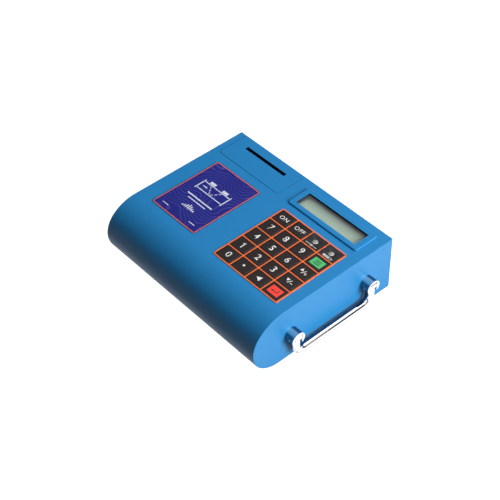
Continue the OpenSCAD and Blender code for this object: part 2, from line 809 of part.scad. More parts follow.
module thermal_head() color(steel) place() {
    x = printer_x + printer_t;
    w = printer_w - 2 * printer_t;
    z = platen_z - head_drop;
    fins = 4;
    fin_spacing = head_h / fins;
    difference() {
        block([x, head_y, z], [w, head_d, head_h]);
        for (i = [0 : fins - 1])
            block([x - overrun, head_y + head_d - head_groove, z + (i + 1 / 2) * fin_spacing],
                [w + 2 * overrun, head_d, fin_spacing / 2]);
    }
}

module platen_shaft() color(steel) place()
    rod_x([printer_x - hub_gap, platen_y, platen_z], platen_shaft_r,
        gear_x + gear_t + hub_gap - printer_x + hub_gap);

module platen_roller() color([0.24, 0.24, 0.25]) place() difference() {
    rod_x([platen_x, platen_y, platen_z], platen_r, platen_l);
    rod_x([platen_x - overrun, platen_y, platen_z], platen_shaft_r + hold_gap, platen_l + 2 * overrun);
}

// Involute gear, drawn with a tooth on its first axis
pressure_a = 20;
// Height of a tooth over the pitch circle and its depth under it, as shares of the tooth size
tooth_top_share = 0.8;
tooth_root_share = 1.15;
flank_steps = 5;
function involute_a(phi) = tan(phi) * 180 / PI - phi;
function flank_a(r, teeth, pitch_r) = 90 / teeth - gear_play / (4 * pitch_r) * 180 / PI
    + involute_a(pressure_a) - involute_a(acos(min(1, pitch_r * cos(pressure_a) / r)));

module gear_outline(teeth) {
    pitch_r = tooth_size * teeth / 2;
    base_r = pitch_r * cos(pressure_a);
    root_r = pitch_r - tooth_root_share * tooth_size;
    tip_r = pitch_r + tooth_top_share * tooth_size;
    start_r = max(base_r, root_r);
    radii = concat(root_r < base_r ? [root_r] : [],
        [for (i = [0 : flank_steps]) start_r + (tip_r - start_r) * i / flank_steps]);
    up = [for (r = radii) [r, -flank_a(max(r, start_r), teeth, pitch_r)]];
    down = [for (i = [len(up) - 1 : -1 : 0]) [up[i][0], -up[i][1]]];
    polygon([for (t = [0 : teeth - 1], p = concat(up, down))
        p[0] * [cos(p[1] + t * 360 / teeth), sin(p[1] + t * 360 / teeth)]]);
}

module platen_gear() color([0.85, 0.84, 0.78]) place() difference() {
    translate([0, platen_y, platen_z])
        along_x(gear_x, gear_t) rotate(motor_a) gear_outline(platen_teeth);
    rod_x([gear_x - overrun, platen_y, platen_z], platen_shaft_r + hold_gap, gear_t + 2 * overrun);
}

module printer_motor() color(steel) place() difference() {
    rod_x([right_plate_x - motor_l, motor_y, motor_z], motor_r, motor_l);
    rod_x([right_plate_x - motor_l / 2, motor_y, motor_z], motor_shaft_r + run_gap, motor_l);
}

module motor_gear() color([0.80, 0.66, 0.34]) place() {
    translate([0, motor_y, motor_z])
        along_x(gear_x, gear_t) rotate(motor_a + 180 + 180 / motor_teeth) gear_outline(motor_teeth);
    rod_x([right_plate_x - motor_l / 2 + fit_gap, motor_y, motor_z], motor_shaft_r,
        gear_x + bond - right_plate_x + motor_l / 2 - fit_gap);
}

module paper_roll() color([0.94, 0.94, 0.92]) place() difference() {
    rod_x([roll_x, roll_y, roll_z], roll_r, roll_w);
    rod_x([roll_x - overrun, roll_y, roll_z], roll_hole_r, roll_w + 2 * overrun);
}

module roll_spindle() color(dark_plastic) place() {
    body_x = printer_x + printer_t + fit_gap;
    rod_x([printer_x, roll_y, roll_z], spindle_neck_r, printer_w);
    rod_x([body_x, roll_y, roll_z], spindle_r, printer_w - 2 * (printer_t + fit_gap));
}

// Electronics

module main_board() color(board_green) place() difference() {
    block([board_x, board_y, board_z], [board_w, board_d, board_t]);
    for (p = board_places) rod_z([p[0], p[1], board_z - overrun], standoff_r / 2, 2 * overrun);
}

// Each row: place and size of a component, as shares of the board's width and depth, and its height
component_shares = [[0.12, 0.45, 0.13, 0.22], [0.34, 0.28, 0.16, 0.34], [0.34, 0.74, 0.10, 0.12],
    [0.58, 0.30, 0.08, 0.20], [0.58, 0.66, 0.20, 0.16], [0.84, 0.24, 0.09, 0.26],
    [0.84, 0.68, 0.07, 0.16]];
component_height_shares = [5, 1.5, 3, 2, 4, 6, 2.5];

module board_components() color(dark_plastic) place()
    for (i = [0 : len(component_shares) - 1]) {
        s = component_shares[i];
        size = [s[2] * board_w, s[3] * board_d, component_height_shares[i] * board_t];
        block([board_x + s[0] * board_w - size[0] / 2, board_y + s[1] * board_d - size[1] / 2,
            board_z + board_t], size);
    }

module board_standoffs() color(plated) place() for (p = board_places) difference() {
    rod_z([p[0], p[1], plate_t], standoff_r, board_z - plate_t);
    rod_z([p[0], p[1], plate_t + standoff_r], standoff_r / 2, board_z);
}

module battery_pack() color([0.15, 0.32, 0.20]) place() {
    z = plate_t + cell_r;
    for (i = [0 : cells - 1])
        rod_y([battery_x + cell_r + i * cell_spacing, battery_y, z], cell_r, cell_l);
    block([battery_x + cell_r, battery_y + bracket_t, z - cell_r / 2],
        [battery_w - 2 * cell_r, cell_l - 2 * bracket_t, cell_r]);
}

module battery_bracket() color(plated) place() {
    x = battery_x + battery_w / 2 - bracket_w / 2;
    top = plate_t + 2 * cell_r + fit_gap;
    front = battery_y - fit_gap - bracket_t;
    back = battery_y + cell_l + fit_gap;
    along_x(x, bracket_w)
        polygon([[front - bracket_foot, plate_t], [front + bracket_t, plate_t], [front + bracket_t, top],
            [back, top], [back, plate_t], [back + bracket_t + bracket_foot, plate_t],
            [back + bracket_t + bracket_foot, plate_t + bracket_t],
            [back + bracket_t, plate_t + bracket_t], [back + bracket_t, top + bracket_t],
            [front, top + bracket_t], [front, plate_t + bracket_t],
            [front - bracket_foot, plate_t + bracket_t]]);
}

// Sockets at the left end

// A round socket with its flange outside the wall and its nut inside
module socket(y, r, bore_r) place() difference() {
    union() {
        rod_x([-socket_out, y, socket_z], r, socket_out + socket_in);
        rod_x([-flange_t, y, socket_z], r + flange_lap, flange_t);
        translate([wall, y, socket_z]) rotate([0, 90, 0])
            cylinder(r = r + flange_lap, h = 2 * flange_t, $fn = 6);
    }
    rod_x([-socket_out - overrun, y, socket_z], bore_r, socket_bore_l + overrun);
}

module upstream_socket() color(plated) socket(socket_y, socket_r, socket_bore_r);

module downstream_socket() color(plated) socket(socket_y + socket_spacing, socket_r, socket_bore_r);

module charger_jack() color(dark_plastic)
    socket(socket_y + socket_spacing + jack_spacing, jack_r, jack_bore_r);

module port_shell_outline() {
    half = port_shell_w / 2;
    up = port_shell_h / 2;
    polygon([[-half, up], [half, up], [half - port_slope, -up], [port_slope - half, -up]]);
}

module serial_port() color(plated) place() difference() {
    union() {
        block([-flange_t, port_y - port_w / 2, socket_z - port_h / 2], [flange_t, port_w, port_h]);
        translate([0, port_y, socket_z]) along_x(-socket_out, socket_out) port_shell_outline();
        block([-bond, port_y - port_body_w / 2, socket_z - port_shell_h / 2],
            [socket_in + bond, port_body_w, port_shell_h]);
        for (s = [-1, 1])
            translate([-socket_out, port_y + s * jack_screw_spacing / 2, socket_z])
                rotate([0, 90, 0]) cylinder(r = jack_screw_w / 2, h = socket_out, $fn = 6);
    }
    for (row = [0, 1], i = [0 : 4 - row])
        rod_x([-socket_out - overrun, port_y + (i - 2 + row / 2) * contact_spacing,
            socket_z + (1 / 2 - row) * contact_spacing], contact_r, overrun + socket_out);
}

// Handle and its posts

module post(y) color(plated) place() difference() {
    union() {
        rod_x([case_l, y, post_z], post_r, post_l);
        rod_x([case_l - wall - shank_l, y, post_z], shank_r, wall + shank_l + bond);
    }
    block([case_l + post_base_t, y - post_slot_w / 2, post_z - 2 * post_r],
        [post_l, post_slot_w, 2 * post_r + slot_rise]);
    rod_y([pivot_x, y - 2 * post_r, post_z], cross_pin_r + hold_gap, 4 * post_r);
}

module post_nuts() color(steel) place() for (y = post_places) difference() {
    nut_x = case_l - wall - washer_t - nut_t;
    union() {
        rod_x([case_l - wall - washer_t, y, post_z], washer_r, washer_t);
        translate([nut_x, y, post_z]) rotate([0, 90, 0]) cylinder(r = nut_w / 2, h = nut_t, $fn = 6);
    }
    rod_x([nut_x - overrun, y, post_z], shank_r + hold_gap, nut_t + washer_t + 2 * overrun);
}

// A quarter bend of the rod, round a centre at a given Y
module bend(y, start_a) {
    translate([pivot_x, y, bar_z + bend_r]) rotate([90, 0, 90]) rotate(start_a)
        rotate_extrude(angle = 90) translate([bend_r, 0]) circle(rod_r);
}

module handle() color(plated) place() {
    leg_z = bar_z + bend_r;
    bar_y = post_front_y + bend_r;
    difference() {
        union() {
            for (y = post_places) {
                rod_z([pivot_x, y, leg_z], rod_r, post_z - leg_z);
                rod_y([pivot_x, y - eye_w / 2, post_z], eye_r, eye_w);
            }
            bend(bar_y, 180);
            bend(post_front_y + post_spacing - bend_r, 270);
            rod_y([pivot_x, bar_y, bar_z], rod_r, post_spacing - 2 * bend_r);
        }
        for (y = post_places)
            rod_y([pivot_x, y - eye_w, post_z], cross_pin_r + run_gap, 2 * eye_w);
    }
}

module handle_pins() color(steel) place() for (y = post_places) {
    reach = sqrt(pow(post_r, 2) - pow(cross_pin_r, 2)) - fit_gap;
    rod_y([pivot_x, y - reach, post_z], cross_pin_r, 2 * reach);
}

upper_housing();
bottom_cover();
bottom_screws();
rubber_feet();
display_bezel();
display_window();
display_panel();
display_frame();
display_board();
display_spacers();
keypad_overlay();
switch_film();
key_domes();
for (k = KEYS) key(k);
light(0);  // charge_light
light(1);  // battery_light
name_label();
printer_cover();
cover_hinge_pin();
printer_chassis();
thermal_head();
platen_shaft();
platen_roller();
platen_gear();
printer_motor();
motor_gear();
paper_roll();
roll_spindle();
main_board();
board_components();
board_standoffs();
battery_pack();
battery_bracket();
upstream_socket();
downstream_socket();
charger_jack();
serial_port();
post(post_places[0]);  // post_front
post(post_places[1]);  // post_rear
post_nuts();
handle();
handle_pins();
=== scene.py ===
"""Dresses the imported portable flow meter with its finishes, its prints and its studio."""

import json
import logging
import math
from collections.abc import Callable, Iterable, Iterator
from contextlib import contextmanager
from dataclasses import dataclass
from enum import Enum

import bmesh
import bpy
from mathutils import Matrix, Vector

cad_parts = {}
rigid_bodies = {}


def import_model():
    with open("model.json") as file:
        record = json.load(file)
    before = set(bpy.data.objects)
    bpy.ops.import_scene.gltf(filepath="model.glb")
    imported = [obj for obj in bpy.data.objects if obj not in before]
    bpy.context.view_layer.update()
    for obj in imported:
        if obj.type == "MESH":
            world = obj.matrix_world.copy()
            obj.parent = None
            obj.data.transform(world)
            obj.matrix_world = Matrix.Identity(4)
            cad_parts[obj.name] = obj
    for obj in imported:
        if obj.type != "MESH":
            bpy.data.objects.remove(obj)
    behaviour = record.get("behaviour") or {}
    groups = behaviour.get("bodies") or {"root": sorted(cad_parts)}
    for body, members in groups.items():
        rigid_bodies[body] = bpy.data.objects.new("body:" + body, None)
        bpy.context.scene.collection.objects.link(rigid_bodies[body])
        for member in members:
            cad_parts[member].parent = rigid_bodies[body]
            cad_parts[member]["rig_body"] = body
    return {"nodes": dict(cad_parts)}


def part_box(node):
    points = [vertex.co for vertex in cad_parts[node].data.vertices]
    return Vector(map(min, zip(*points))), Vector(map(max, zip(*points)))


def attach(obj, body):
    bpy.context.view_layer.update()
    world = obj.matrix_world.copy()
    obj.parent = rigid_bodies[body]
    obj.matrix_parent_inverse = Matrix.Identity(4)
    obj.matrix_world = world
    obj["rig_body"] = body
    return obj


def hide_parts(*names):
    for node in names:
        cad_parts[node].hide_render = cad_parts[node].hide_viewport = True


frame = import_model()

log = logging.getLogger("flow_meter")
MM = 0.001
UP = math.pi / 2
LEFT = math.pi
NodeSocket = bpy.types.NodeSocket
Piece = bpy.types.Object
Face = bmesh.types.BMFace
Colour = tuple[float, float, float]
Place = tuple[float, float, float]
Tone = Colour | NodeSocket


class Axis(Enum):
    """A direction of the object's frame."""

    X = (1.0, 0.0, 0.0)
    Y = (0.0, 1.0, 0.0)


class Select(Enum):
    """What edit mode picks."""

    EDGES = "EDGE"
    FACES = "FACE"


# Shader graphs


class Value:
    """A number that varies over a surface, where an expression on values adds its Math nodes."""

    def __init__(self, graph: "Graph", socket: NodeSocket) -> None:
        """Wraps a socket of a graph."""
        self.graph = graph
        self.socket = socket

    def math(self, operation: str, *terms: "Value | float") -> "Value":
        """Adds one Math node.

        Args:
            operation: The node's operation.
            *terms: Its inputs in order.

        Returns:
            The node's result.
        """
        node = self.graph.add(
            "ShaderNodeMath", {"operation": operation}, dict(enumerate(terms))
        )
        return Value(self.graph, node.outputs[0])

    def __add__(self, other: "Value | float") -> "Value":
        """Adds."""
        return self.math("ADD", self, other)

    def __radd__(self, other: float) -> "Value":
        """Adds to a number."""
        return self.math("ADD", other, self)

    def __sub__(self, other: "Value | float") -> "Value":
        """Subtracts."""
        return self.math("SUBTRACT", self, other)

    def __rsub__(self, other: float) -> "Value":
        """Subtracts from a number."""
        return self.math("SUBTRACT", other, self)

    def __mul__(self, other: "Value | float") -> "Value":
        """Multiplies."""
        return self.math("MULTIPLY", self, other)

    def __rmul__(self, other: float) -> "Value":
        """Multiplies a number."""
        return self.math("MULTIPLY", other, self)

    def __truediv__(self, other: "Value | float") -> "Value":
        """Divides."""
        return self.math("DIVIDE", self, other)

    def __rtruediv__(self, other: float) -> "Value":
        """Divides a number."""
        return self.math("DIVIDE", other, self)

    def __pow__(self, other: "Value | float") -> "Value":
        """Raises to a power."""
        return self.math("POWER", self, other)

    def __rpow__(self, other: float) -> "Value":
        """Raises a number to this power."""
        return self.math("POWER", other, self)

    def __lt__(self, other: "Value | float") -> "Value":
        """Gives 1 where it is less."""
        return self.math("LESS_THAN", self, other)

    def __gt__(self, other: "Value | float") -> "Value":
        """Gives 1 where it is greater."""
        return self.math("GREATER_THAN", self, other)

    def sine(self) -> "Value":
        """Takes the sine."""
        return self.math("SINE", self)

    def wrap(self, period: float) -> "Value":
        """Repeats from zero to a period."""
        return self.math("WRAP", self, period, 0.0)

    def fade(self, length: float) -> "Value":
        """Falls from 1 at zero to a third at a length."""
        return self.math("EXPONENT", self / -length)

    def between(self, low: float, high: float) -> "Value":
        """Gives 1 between two limits."""
        return (self > low) * (self < high)


class Graph:
    """The node graph of one material, or of the world."""

    MIX_FIRST = 6
    MIX_SECOND = 7
    MIX_RESULT = 2

    def __init__(self, owner: bpy.types.Material | bpy.types.World) -> None:
        """Starts an empty graph.

        Args:
            owner: The material or the world that the graph belongs to.
        """
        owner.use_nodes = True
        self.tree = owner.node_tree
        self.tree.nodes.clear()

    def add(
        self, kind: str, settings: dict | None = None, inputs: dict | None = None
    ) -> bpy.types.Node:
        """Adds a node.

        Args:
            kind: The node's type.
            settings: Its settings, which are set first. The key stops holds a ramp's
                places and colours.
            inputs: The values or links of its sockets, by name or number.

        Returns:
            The node.
        """
        node = self.tree.nodes.new(kind)
        for name, setting in (settings or {}).items():
            if name == "stops":
                self.set_stops(node.color_ramp.elements, setting)
            else:
                setattr(node, name, setting)
        for name, value in (inputs or {}).items():
            socket = node.inputs[name]
            value = value.socket if isinstance(value, Value) else value
            if isinstance(value, NodeSocket):
                self.tree.links.new(value, socket)
            else:
                socket.default_value = value
        return node

    @staticmethod
    def set_stops(elements: bpy.types.ColorRampElements, stops: tuple) -> None:
        """Sets the stops of a ramp.

        Args:
            elements: The ramp's elements.
            stops: Their places and colours.
        """
        while len(elements) < len(stops):
            elements.new(1.0)
        for element, (place, colour) in zip(elements, stops, strict=True):
            element.position = place
            element.color = (*colour, 1.0)

    def place(self) -> NodeSocket:
        """Gives the place on the object, in metres of its frame."""
        return self.add("ShaderNodeTexCoord").outputs["Object"]

    def axes(self) -> tuple[Value, Value, Value]:
        """Gives the place as its three coordinates."""
        node = self.add("ShaderNodeSeparateXYZ", inputs={0: self.place()})
        return tuple(Value(self, socket) for socket in node.outputs)

    def noise(
        self, size: float, detail: float = 2.0, stretch: Place = (1.0, 1.0, 1.0)
    ) -> Value:
        """Adds a noise.

        Args:
            size: The size of its lumps in metres.
            detail: How many finer layers it has.
            stretch: How many times longer the lumps are along each axis.

        Returns:
            The noise, about 0.5 on average.
        """
        scale = tuple(1 / s for s in stretch)
        mapping = self.add(
            "ShaderNodeMapping", inputs={"Vector": self.place(), "Scale": scale}
        )
        node = self.add(
            "ShaderNodeTexNoise",
            inputs={"Vector": mapping.outputs[0], "Scale": 1 / size, "Detail": detail},
        )
        return Value(self, node.outputs[0])

    def blend(self, factor: Value | float, first: Tone, second: Tone) -> NodeSocket:
        """Mixes two colours.

        Args:
            factor: The share of the second colour.
            first: The colour where the factor is 0.
            second: The colour where the factor is 1.

        Returns:
            The mixed colour.
        """
        tones = [(*c, 1.0) if isinstance(c, tuple) else c for c in (first, second)]
        inputs = {0: factor, self.MIX_FIRST: tones[0], self.MIX_SECOND: tones[1]}
        node = self.add("ShaderNodeMix", {"data_type": "RGBA"}, inputs)
        return node.outputs[self.MIX_RESULT]

    def bump(self, height: Value, depth: float) -> NodeSocket:
        """Turns a height from 0 to 1 into a bumped normal, where 1 stands for the depth."""
        inputs = {"Height": height, "Distance": depth, "Strength": 1.0}
        return self.add("ShaderNodeBump", inputs=inputs).outputs[0]

    def surface(self, inputs: dict) -> None:
        """Ends the graph in a Principled BSDF with these inputs."""
        shader = self.add("ShaderNodeBsdfPrincipled", inputs=inputs)
        self.add("ShaderNodeOutputMaterial", inputs={"Surface": shader.outputs[0]})


def lighter(colour: Colour, amount: float) -> Colour:
    """Scales a colour, kept between 0 and 1."""
    return tuple(min(1.0, c * amount) for c in colour)


def grey(level: float) -> Colour:
    """Gives a grey."""
    return (level, level, level)


# Finishes


@dataclass(frozen=True)
class Finish:
    """A plain finish with a fine grain, broad shading and a broken gloss."""

    name: str
    colour: Colour
    roughness: float = 0.45
    metallic: float = 0.0
    coat: float = 0.0
    coat_roughness: float = 0.15
    specular: float = 0.27
    shade: float = 0.05
    grain: float = 0.4 * MM
    relief: float = 0.02 * MM
    broad: float = 24 * MM
    blotch: float = 9 * MM
    swing: float = 0.08

    def material(self) -> bpy.types.Material:
        """Gives the material, which is made once.

        Returns:
            The material.
        """
        name = self.name + "_finish"
        made = bpy.data.materials.get(name)
        if made is None:
            made = bpy.data.materials.new(name)
            made.diffuse_color = (*self.colour, 1.0)
            graph = Graph(made)
            graph.surface(self.inputs(graph))
        return made

    def inputs(self, graph: Graph) -> dict:
        """Gives the inputs of the surface.

        Args:
            graph: The material's graph.

        Returns:
            The inputs by name.
        """
        return {
            "Base Color": self.tint(graph),
            "Roughness": self.gloss(graph),
            "Metallic": self.metallic,
            "Coat Weight": self.coat,
            "Coat Roughness": self.coat_roughness,
            "Specular IOR Level": self.specular,
            "Normal": graph.bump(self.height(graph), self.relief),
        }

    def uneven(self, graph: Graph, drift: Value, amount: float) -> NodeSocket:
        """Gives the colour, darker and lighter by an amount where the drift is 0 and 1."""
        darkest, palest = lighter(self.colour, 1 - amount), lighter(self.colour, 1 + amount)
        return graph.blend(drift, darkest, palest)

    def tint(self, graph: Graph) -> NodeSocket:
        """Gives the colour, a little uneven."""
        drift = graph.noise(self.broad, 1.0) * 0.7 + graph.noise(self.grain * 3) * 0.3
        return self.uneven(graph, drift, self.shade)

    def gloss(self, graph: Graph) -> Value:
        """Gives the roughness, a little uneven."""
        return graph.noise(self.blotch) * self.swing + (self.roughness - self.swing / 2)

    def height(self, graph: Graph) -> Value:
        """Gives the height of the grain."""
        return graph.noise(self.grain)


@dataclass(frozen=True)
class Paint(Finish):
    """Satin paint with orange peel and a fine powder grain."""

    peel: float = 2.2 * MM

    def height(self, graph: Graph) -> Value:
        """Gives the peel with the powder grain on it."""
        return graph.noise(self.peel, 1.0) * 0.75 + graph.noise(self.grain, 1.0) * 0.25


@dataclass(frozen=True)
class Brushed(Finish):
    """Metal brushed along one axis."""

    along: Axis = Axis.Y
    metallic: float = 1.0
    swing: float = 0.2
    mark_width: float = 0.35 * MM
    mark_stretch: float = 40.0

    def streaks(self, graph: Graph) -> Value:
        """Gives the brush marks."""
        stretch = tuple(self.mark_stretch if part else 1.0 for part in self.along.value)
        return graph.noise(self.mark_width, 3.0, stretch)

    def gloss(self, graph: Graph) -> Value:
        """Gives a roughness that follows the brush marks."""
        return self.streaks(graph) * self.swing + (self.roughness - self.swing / 2)

    def height(self, graph: Graph) -> Value:
        """Gives the depth of the brush marks."""
        return self.streaks(graph)


@dataclass(frozen=True)
class Display(Finish):
    """The grey-green panel of a display of characters, switched off, with faint cells.

    It lies deep in its frame, and painted shade darkens its colour along its rear and left
    edges.
    """

    low: Place = (0.0, 0.0, 0.0)
    high: Place = (1.0, 1.0, 1.0)
    columns: int = 20
    rows: int = 2
    broad: float = 30 * MM
    margin: float = 2.6 * MM
    column_gap: float = 0.12
    row_gap: float = 0.1
    cell: Colour = (0.12, 0.16, 0.12)
    cell_strength: float = 0.05
    # The shadow colour, with the reaches and strengths below, paints shade along the rear and
    # left edges.
    shadow: Colour = (0.003, 0.005, 0.009)
    rear_depth: float = 6 * MM
    rear_strength: float = 1.2
    left_depth: float = 2 * MM
    left_strength: float = 0.9

    def cells(self, at: Value, axis: int, count: int, gap: float) -> Value:
        """Gives 1 in the cells' stretches along one axis.

        Args:
            at: The place along the axis.
            axis: The axis by number.
            count: How many cells lie along it.
            gap: The share of a cell's pitch that is bare on either side of it.

        Returns:
            The stretches.
        """
        low, high = self.low[axis] + self.margin, self.high[axis] - self.margin
        pitch = (high - low) / count
        return ((at - low).wrap(pitch) / pitch).between(gap, 1 - gap) * at.between(low, high)

    def tint(self, graph: Graph) -> NodeSocket:
        """Gives the panel's colour, with a little darker cells and painted shade along the rear
        and left edges.

        Args:
            graph: The material's graph.

        Returns:
            The colour.
        """
        x, y, _ = graph.axes()
        across = self.cells(x, 0, self.columns, self.column_gap)
        down = self.cells(y, 1, self.rows, self.row_gap)
        film = self.uneven(graph, graph.noise(self.broad, 1.0), self.shade)
        panel = graph.blend(across * down * self.cell_strength, film, self.cell)
        # Painted shade: darker towards the rear edge and the left edge of the view.
        rear = (self.high[1] - y).fade(self.rear_depth) * self.rear_strength
        left = (x - self.low[0]).fade(self.left_depth) * self.left_strength
        return graph.blend(rear + left, panel, self.shadow)


@dataclass(frozen=True)
class LabelField(Finish):
    """Indigo label film with faint, wavy flow lines."""

    centre: Place = (0.0, 0.0, 0.0)
    line: Colour = (0.10, 0.11, 0.42)
    span: float = 10 * MM
    swell: float = 26 * MM
    patch: float = 40 * MM
    density: float = 9.0
    sharpness: float = 5.0
    strength: float = 0.75

    def tint(self, graph: Graph) -> NodeSocket:
        """Gives the film with its flow lines.

        Args:
            graph: The material's graph.

        Returns:
            The colour.
        """
        x, y, _ = graph.axes()
        across = (x - self.centre[0]) / self.span
        along = (y - self.centre[1]) / self.span
        bend = (across * 0.9).sine() * 0.5 + (along * 0.55).sine() * 0.6
        phase = (along + bend + graph.noise(self.swell, 0.0) * 5.0) * self.density
        lines = (phase.sine() * 0.5 + 0.5) ** self.sharpness
        fade = graph.noise(self.patch, 0.0) * 1.1 - 0.1
        return graph.blend(lines * fade * self.strength, self.colour, self.line)


@dataclass(frozen=True)
class KeypadFilm(Finish):
    """Orange keypad film with the dark cells of the two indicator lights."""

    cells: tuple[tuple[float, float, float, float], ...] = ()
    top: float = 1.0
    broad: float = 6 * MM
    cell_colour: Colour = (0.013, 0.012, 0.014)

    def tint(self, graph: Graph) -> NodeSocket:
        """Gives the film's colour, dark in the lights' cells.

        Args:
            graph: The material's graph.

        Returns:
            The colour.
        """
        x, y, z = graph.axes()
        inside = sum(x.between(x0, x1) * y.between(y0, y1) for x0, y0, x1, y1 in self.cells)
        film = self.uneven(graph, graph.noise(self.broad), self.shade)
        return graph.blend(inside * (z < self.top), film, self.cell_colour)


@dataclass(frozen=True)
class Board(Finish):
    """Solder mask with tracks and pads."""

    track: Colour = (0.10, 0.42, 0.20)
    pitch: float = 2.54 * MM
    run_patch: float = 14 * MM
    rung_patch: float = 11 * MM
    strength: float = 0.6

    def lanes(self, at: Value, patches: Value) -> Value:
        """Gives the tracks that lie side by side along one axis, in patches."""
        return (at / self.pitch).wrap(1.0).between(0.35, 0.65) * patches

    def tint(self, graph: Graph) -> NodeSocket:
        """Gives the mask with its tracks.

        Args:
            graph: The material's graph.

        Returns:
            The colour.
        """
        x, y, _ = graph.axes()
        runs = self.lanes(x, graph.noise(self.run_patch, 0.0) > 0.52)
        rungs = self.lanes(y, graph.noise(self.rung_patch, 0.0) > 0.56)
        return graph.blend((runs + rungs) * self.strength, self.colour, self.track)


@dataclass(frozen=True)
class WoundPaper(Finish):
    """Thermal paper on a roll, whose ends show its turns."""

    centre: Place = (0.0, 0.0, 0.0)
    grain: float = 0.8 * MM
    turn: float = 0.22 * MM
    darkest: float = 0.93

    def turns(self, graph: Graph) -> Value:
        """Gives the turns of the paper, seen on the ends.

        Args:
            graph: The material's graph.

        Returns:
            The turns.
        """
        _, y, z = graph.axes()
        across = y - self.centre[1]
        up = z - self.centre[2]
        radius = (across * across + up * up) ** 0.5
        return (radius / self.turn).sine() * 0.5 + 0.5

    def tint(self, graph: Graph) -> NodeSocket:
        """Gives the paper with its turns."""
        mottle = self.turns(graph) * 0.6 + graph.noise(self.grain) * 0.4
        return graph.blend(mottle, lighter(self.colour, self.darkest), self.colour)

    def height(self, graph: Graph) -> Value:
        """Gives the edges of the turns."""
        return self.turns(graph)


@dataclass(frozen=True)
class Chrome(Finish):
    """Bright chrome plating."""

    colour: Colour = (0.42, 0.44, 0.48)
    roughness: float = 0.07
    metallic: float = 1.0
    shade: float = 0.01
    grain: float = 3 * MM
    relief: float = 0.004 * MM


@dataclass(frozen=True)
class PostChrome(Chrome):
    """Chrome of a round post along X, with painted reflections: dark like the case below, and a
    painted pale highlight along its top.

    The painted highlight faces up and a little forward. It starts at a share of the radius.
    """

    centre: Place = (0.0, 0.0, 0.0)
    radius: float = 1.0
    end: float = 0.0
    # Painted reflection colours: dark below, and a pale highlight along the top.
    dark: Colour = (0.10, 0.17, 0.23)
    pale: Colour = (0.84, 0.76, 0.72)
    up: float = 0.94
    forward: float = 0.34
    start: float = 0.87
    steepness: float = 9.0

    def tint(self, graph: Graph) -> NodeSocket:
        """Gives the plating's colour with its painted reflections on the side, even on the end
        face.

        Args:
            graph: The material's graph.

        Returns:
            The colour.
        """
        x, y, z = graph.axes()
        # Painted highlight along the top of the side, with painted dark reflection elsewhere on
        # it.
        lift = (z - self.centre[2]) * self.up - (y - self.centre[1]) * self.forward
        stripe = (lift / self.radius - self.start) * self.steepness
        return graph.blend(x > self.end, graph.blend(stripe, self.dark, self.pale), self.colour)


@dataclass(frozen=True)
class RodChrome(Chrome):
    """Chrome of a rod with painted reflections: dark towards the case, with a dark line along
    its bar.

    Places across the rod are shares of its radius. Below the bar it has one painted reflection
    colour.
    """

    middle: float = 0.0
    bar: float = 0.0
    radius: float = 1.0
    # Painted reflection colours: dark towards the case, a dark line along the bar, and a grey
    # rim below it.
    dark: Colour = (0.09, 0.14, 0.20)
    line: Colour = (0.035, 0.025, 0.022)
    rim: Colour = (0.15, 0.16, 0.18)
    start: float = 0.1
    steepness: float = 5.0
    line_low: float = 0.60
    line_high: float = 0.82
    bottom: float = -0.05

    def tint(self, graph: Graph) -> NodeSocket:
        """Gives the plating's colour with its painted reflections.

        Args:
            graph: The material's graph.

        Returns:
            The colour.
        """
        x, _, z = graph.axes()
        lean = (x - self.middle) / self.radius
        rise = (z - self.bar) / self.radius
        # Painted reflection: dark on the side that faces the case.
        plating = graph.blend((lean - self.start) * self.steepness, self.dark, self.colour)
        # Painted reflection: a thin dark line along the top of the bar.
        stripe = lean.between(self.line_low, self.line_high) * rise.between(0.0, 1.0)
        with_reflected_line = graph.blend(stripe, plating, self.line)
        # Painted reflection: one grey colour below the bar.
        return graph.blend(rise < self.bottom, with_reflected_line, self.rim)


BLUE = Paint(
    "case_blue_paint",
    (0.018, 0.208, 0.485),
    specular=0.16,
    shade=0.025,
    grain=0.5 * MM,
    relief=0.012 * MM,
)
# Near black: the real black of the display frame, and painted shade in openings, slots and
# seams.
BLACK_AND_SHADE = Finish("black_and_shade", (0.003, 0.005, 0.014), roughness=0.6, specular=0.06)
STEEL = Brushed("turned_steel", (0.52, 0.53, 0.55), roughness=0.34, relief=0.006 * MM)
ZINC = Finish("zinc_plating", (0.60, 0.60, 0.62), roughness=0.3, metallic=1.0, shade=0.06)
ALUMINIUM = Brushed(
    "brushed_aluminium", (0.66, 0.67, 0.69), roughness=0.36, along=Axis.X, relief=0.006 * MM
)
BRASS = Finish("gear_brass", (0.72, 0.50, 0.18), roughness=0.25, metallic=1.0, shade=0.06)
GEAR_WHITE = Finish("gear_acetal", (0.78, 0.77, 0.71), roughness=0.4, shade=0.03)
BLACK_PLASTIC = Finish(
    "printer_plastic", (0.018, 0.018, 0.020), roughness=0.5, grain=0.5 * MM, relief=0.03 * MM
)
SOCKET_PLASTIC = Finish("socket_plastic", (0.015, 0.015, 0.017), roughness=0.35)
RUBBER = Finish(
    "foot_rubber", (0.020, 0.020, 0.020), roughness=0.8, grain=0.3 * MM, relief=0.05 * MM
)
ROLLER_RUBBER = Finish("roller_rubber", (0.045, 0.045, 0.048), roughness=0.7)
KEY_BLACK = Finish(
    "key_film_black",
    (0.016, 0.010, 0.010),
    roughness=0.42,
    specular=0.19,
    shade=0.15,
    grain=0.35 * MM,
    relief=0.012 * MM,
)
KEY_GREEN = Finish("key_film_green", (0.075, 0.49, 0.15), roughness=0.4)
KEY_RED = Finish("key_film_red", (0.93, 0.055, 0.035), roughness=0.4)
LEGEND_WHITE = Finish("legend_white", (0.78, 0.78, 0.76), shade=0.02)
LEGEND_DARK = Finish("legend_dark", (0.020, 0.030, 0.024), roughness=0.5, shade=0.1)
LABEL_EDGE = Finish("label_edge", (0.020, 0.045, 0.16), roughness=0.4)
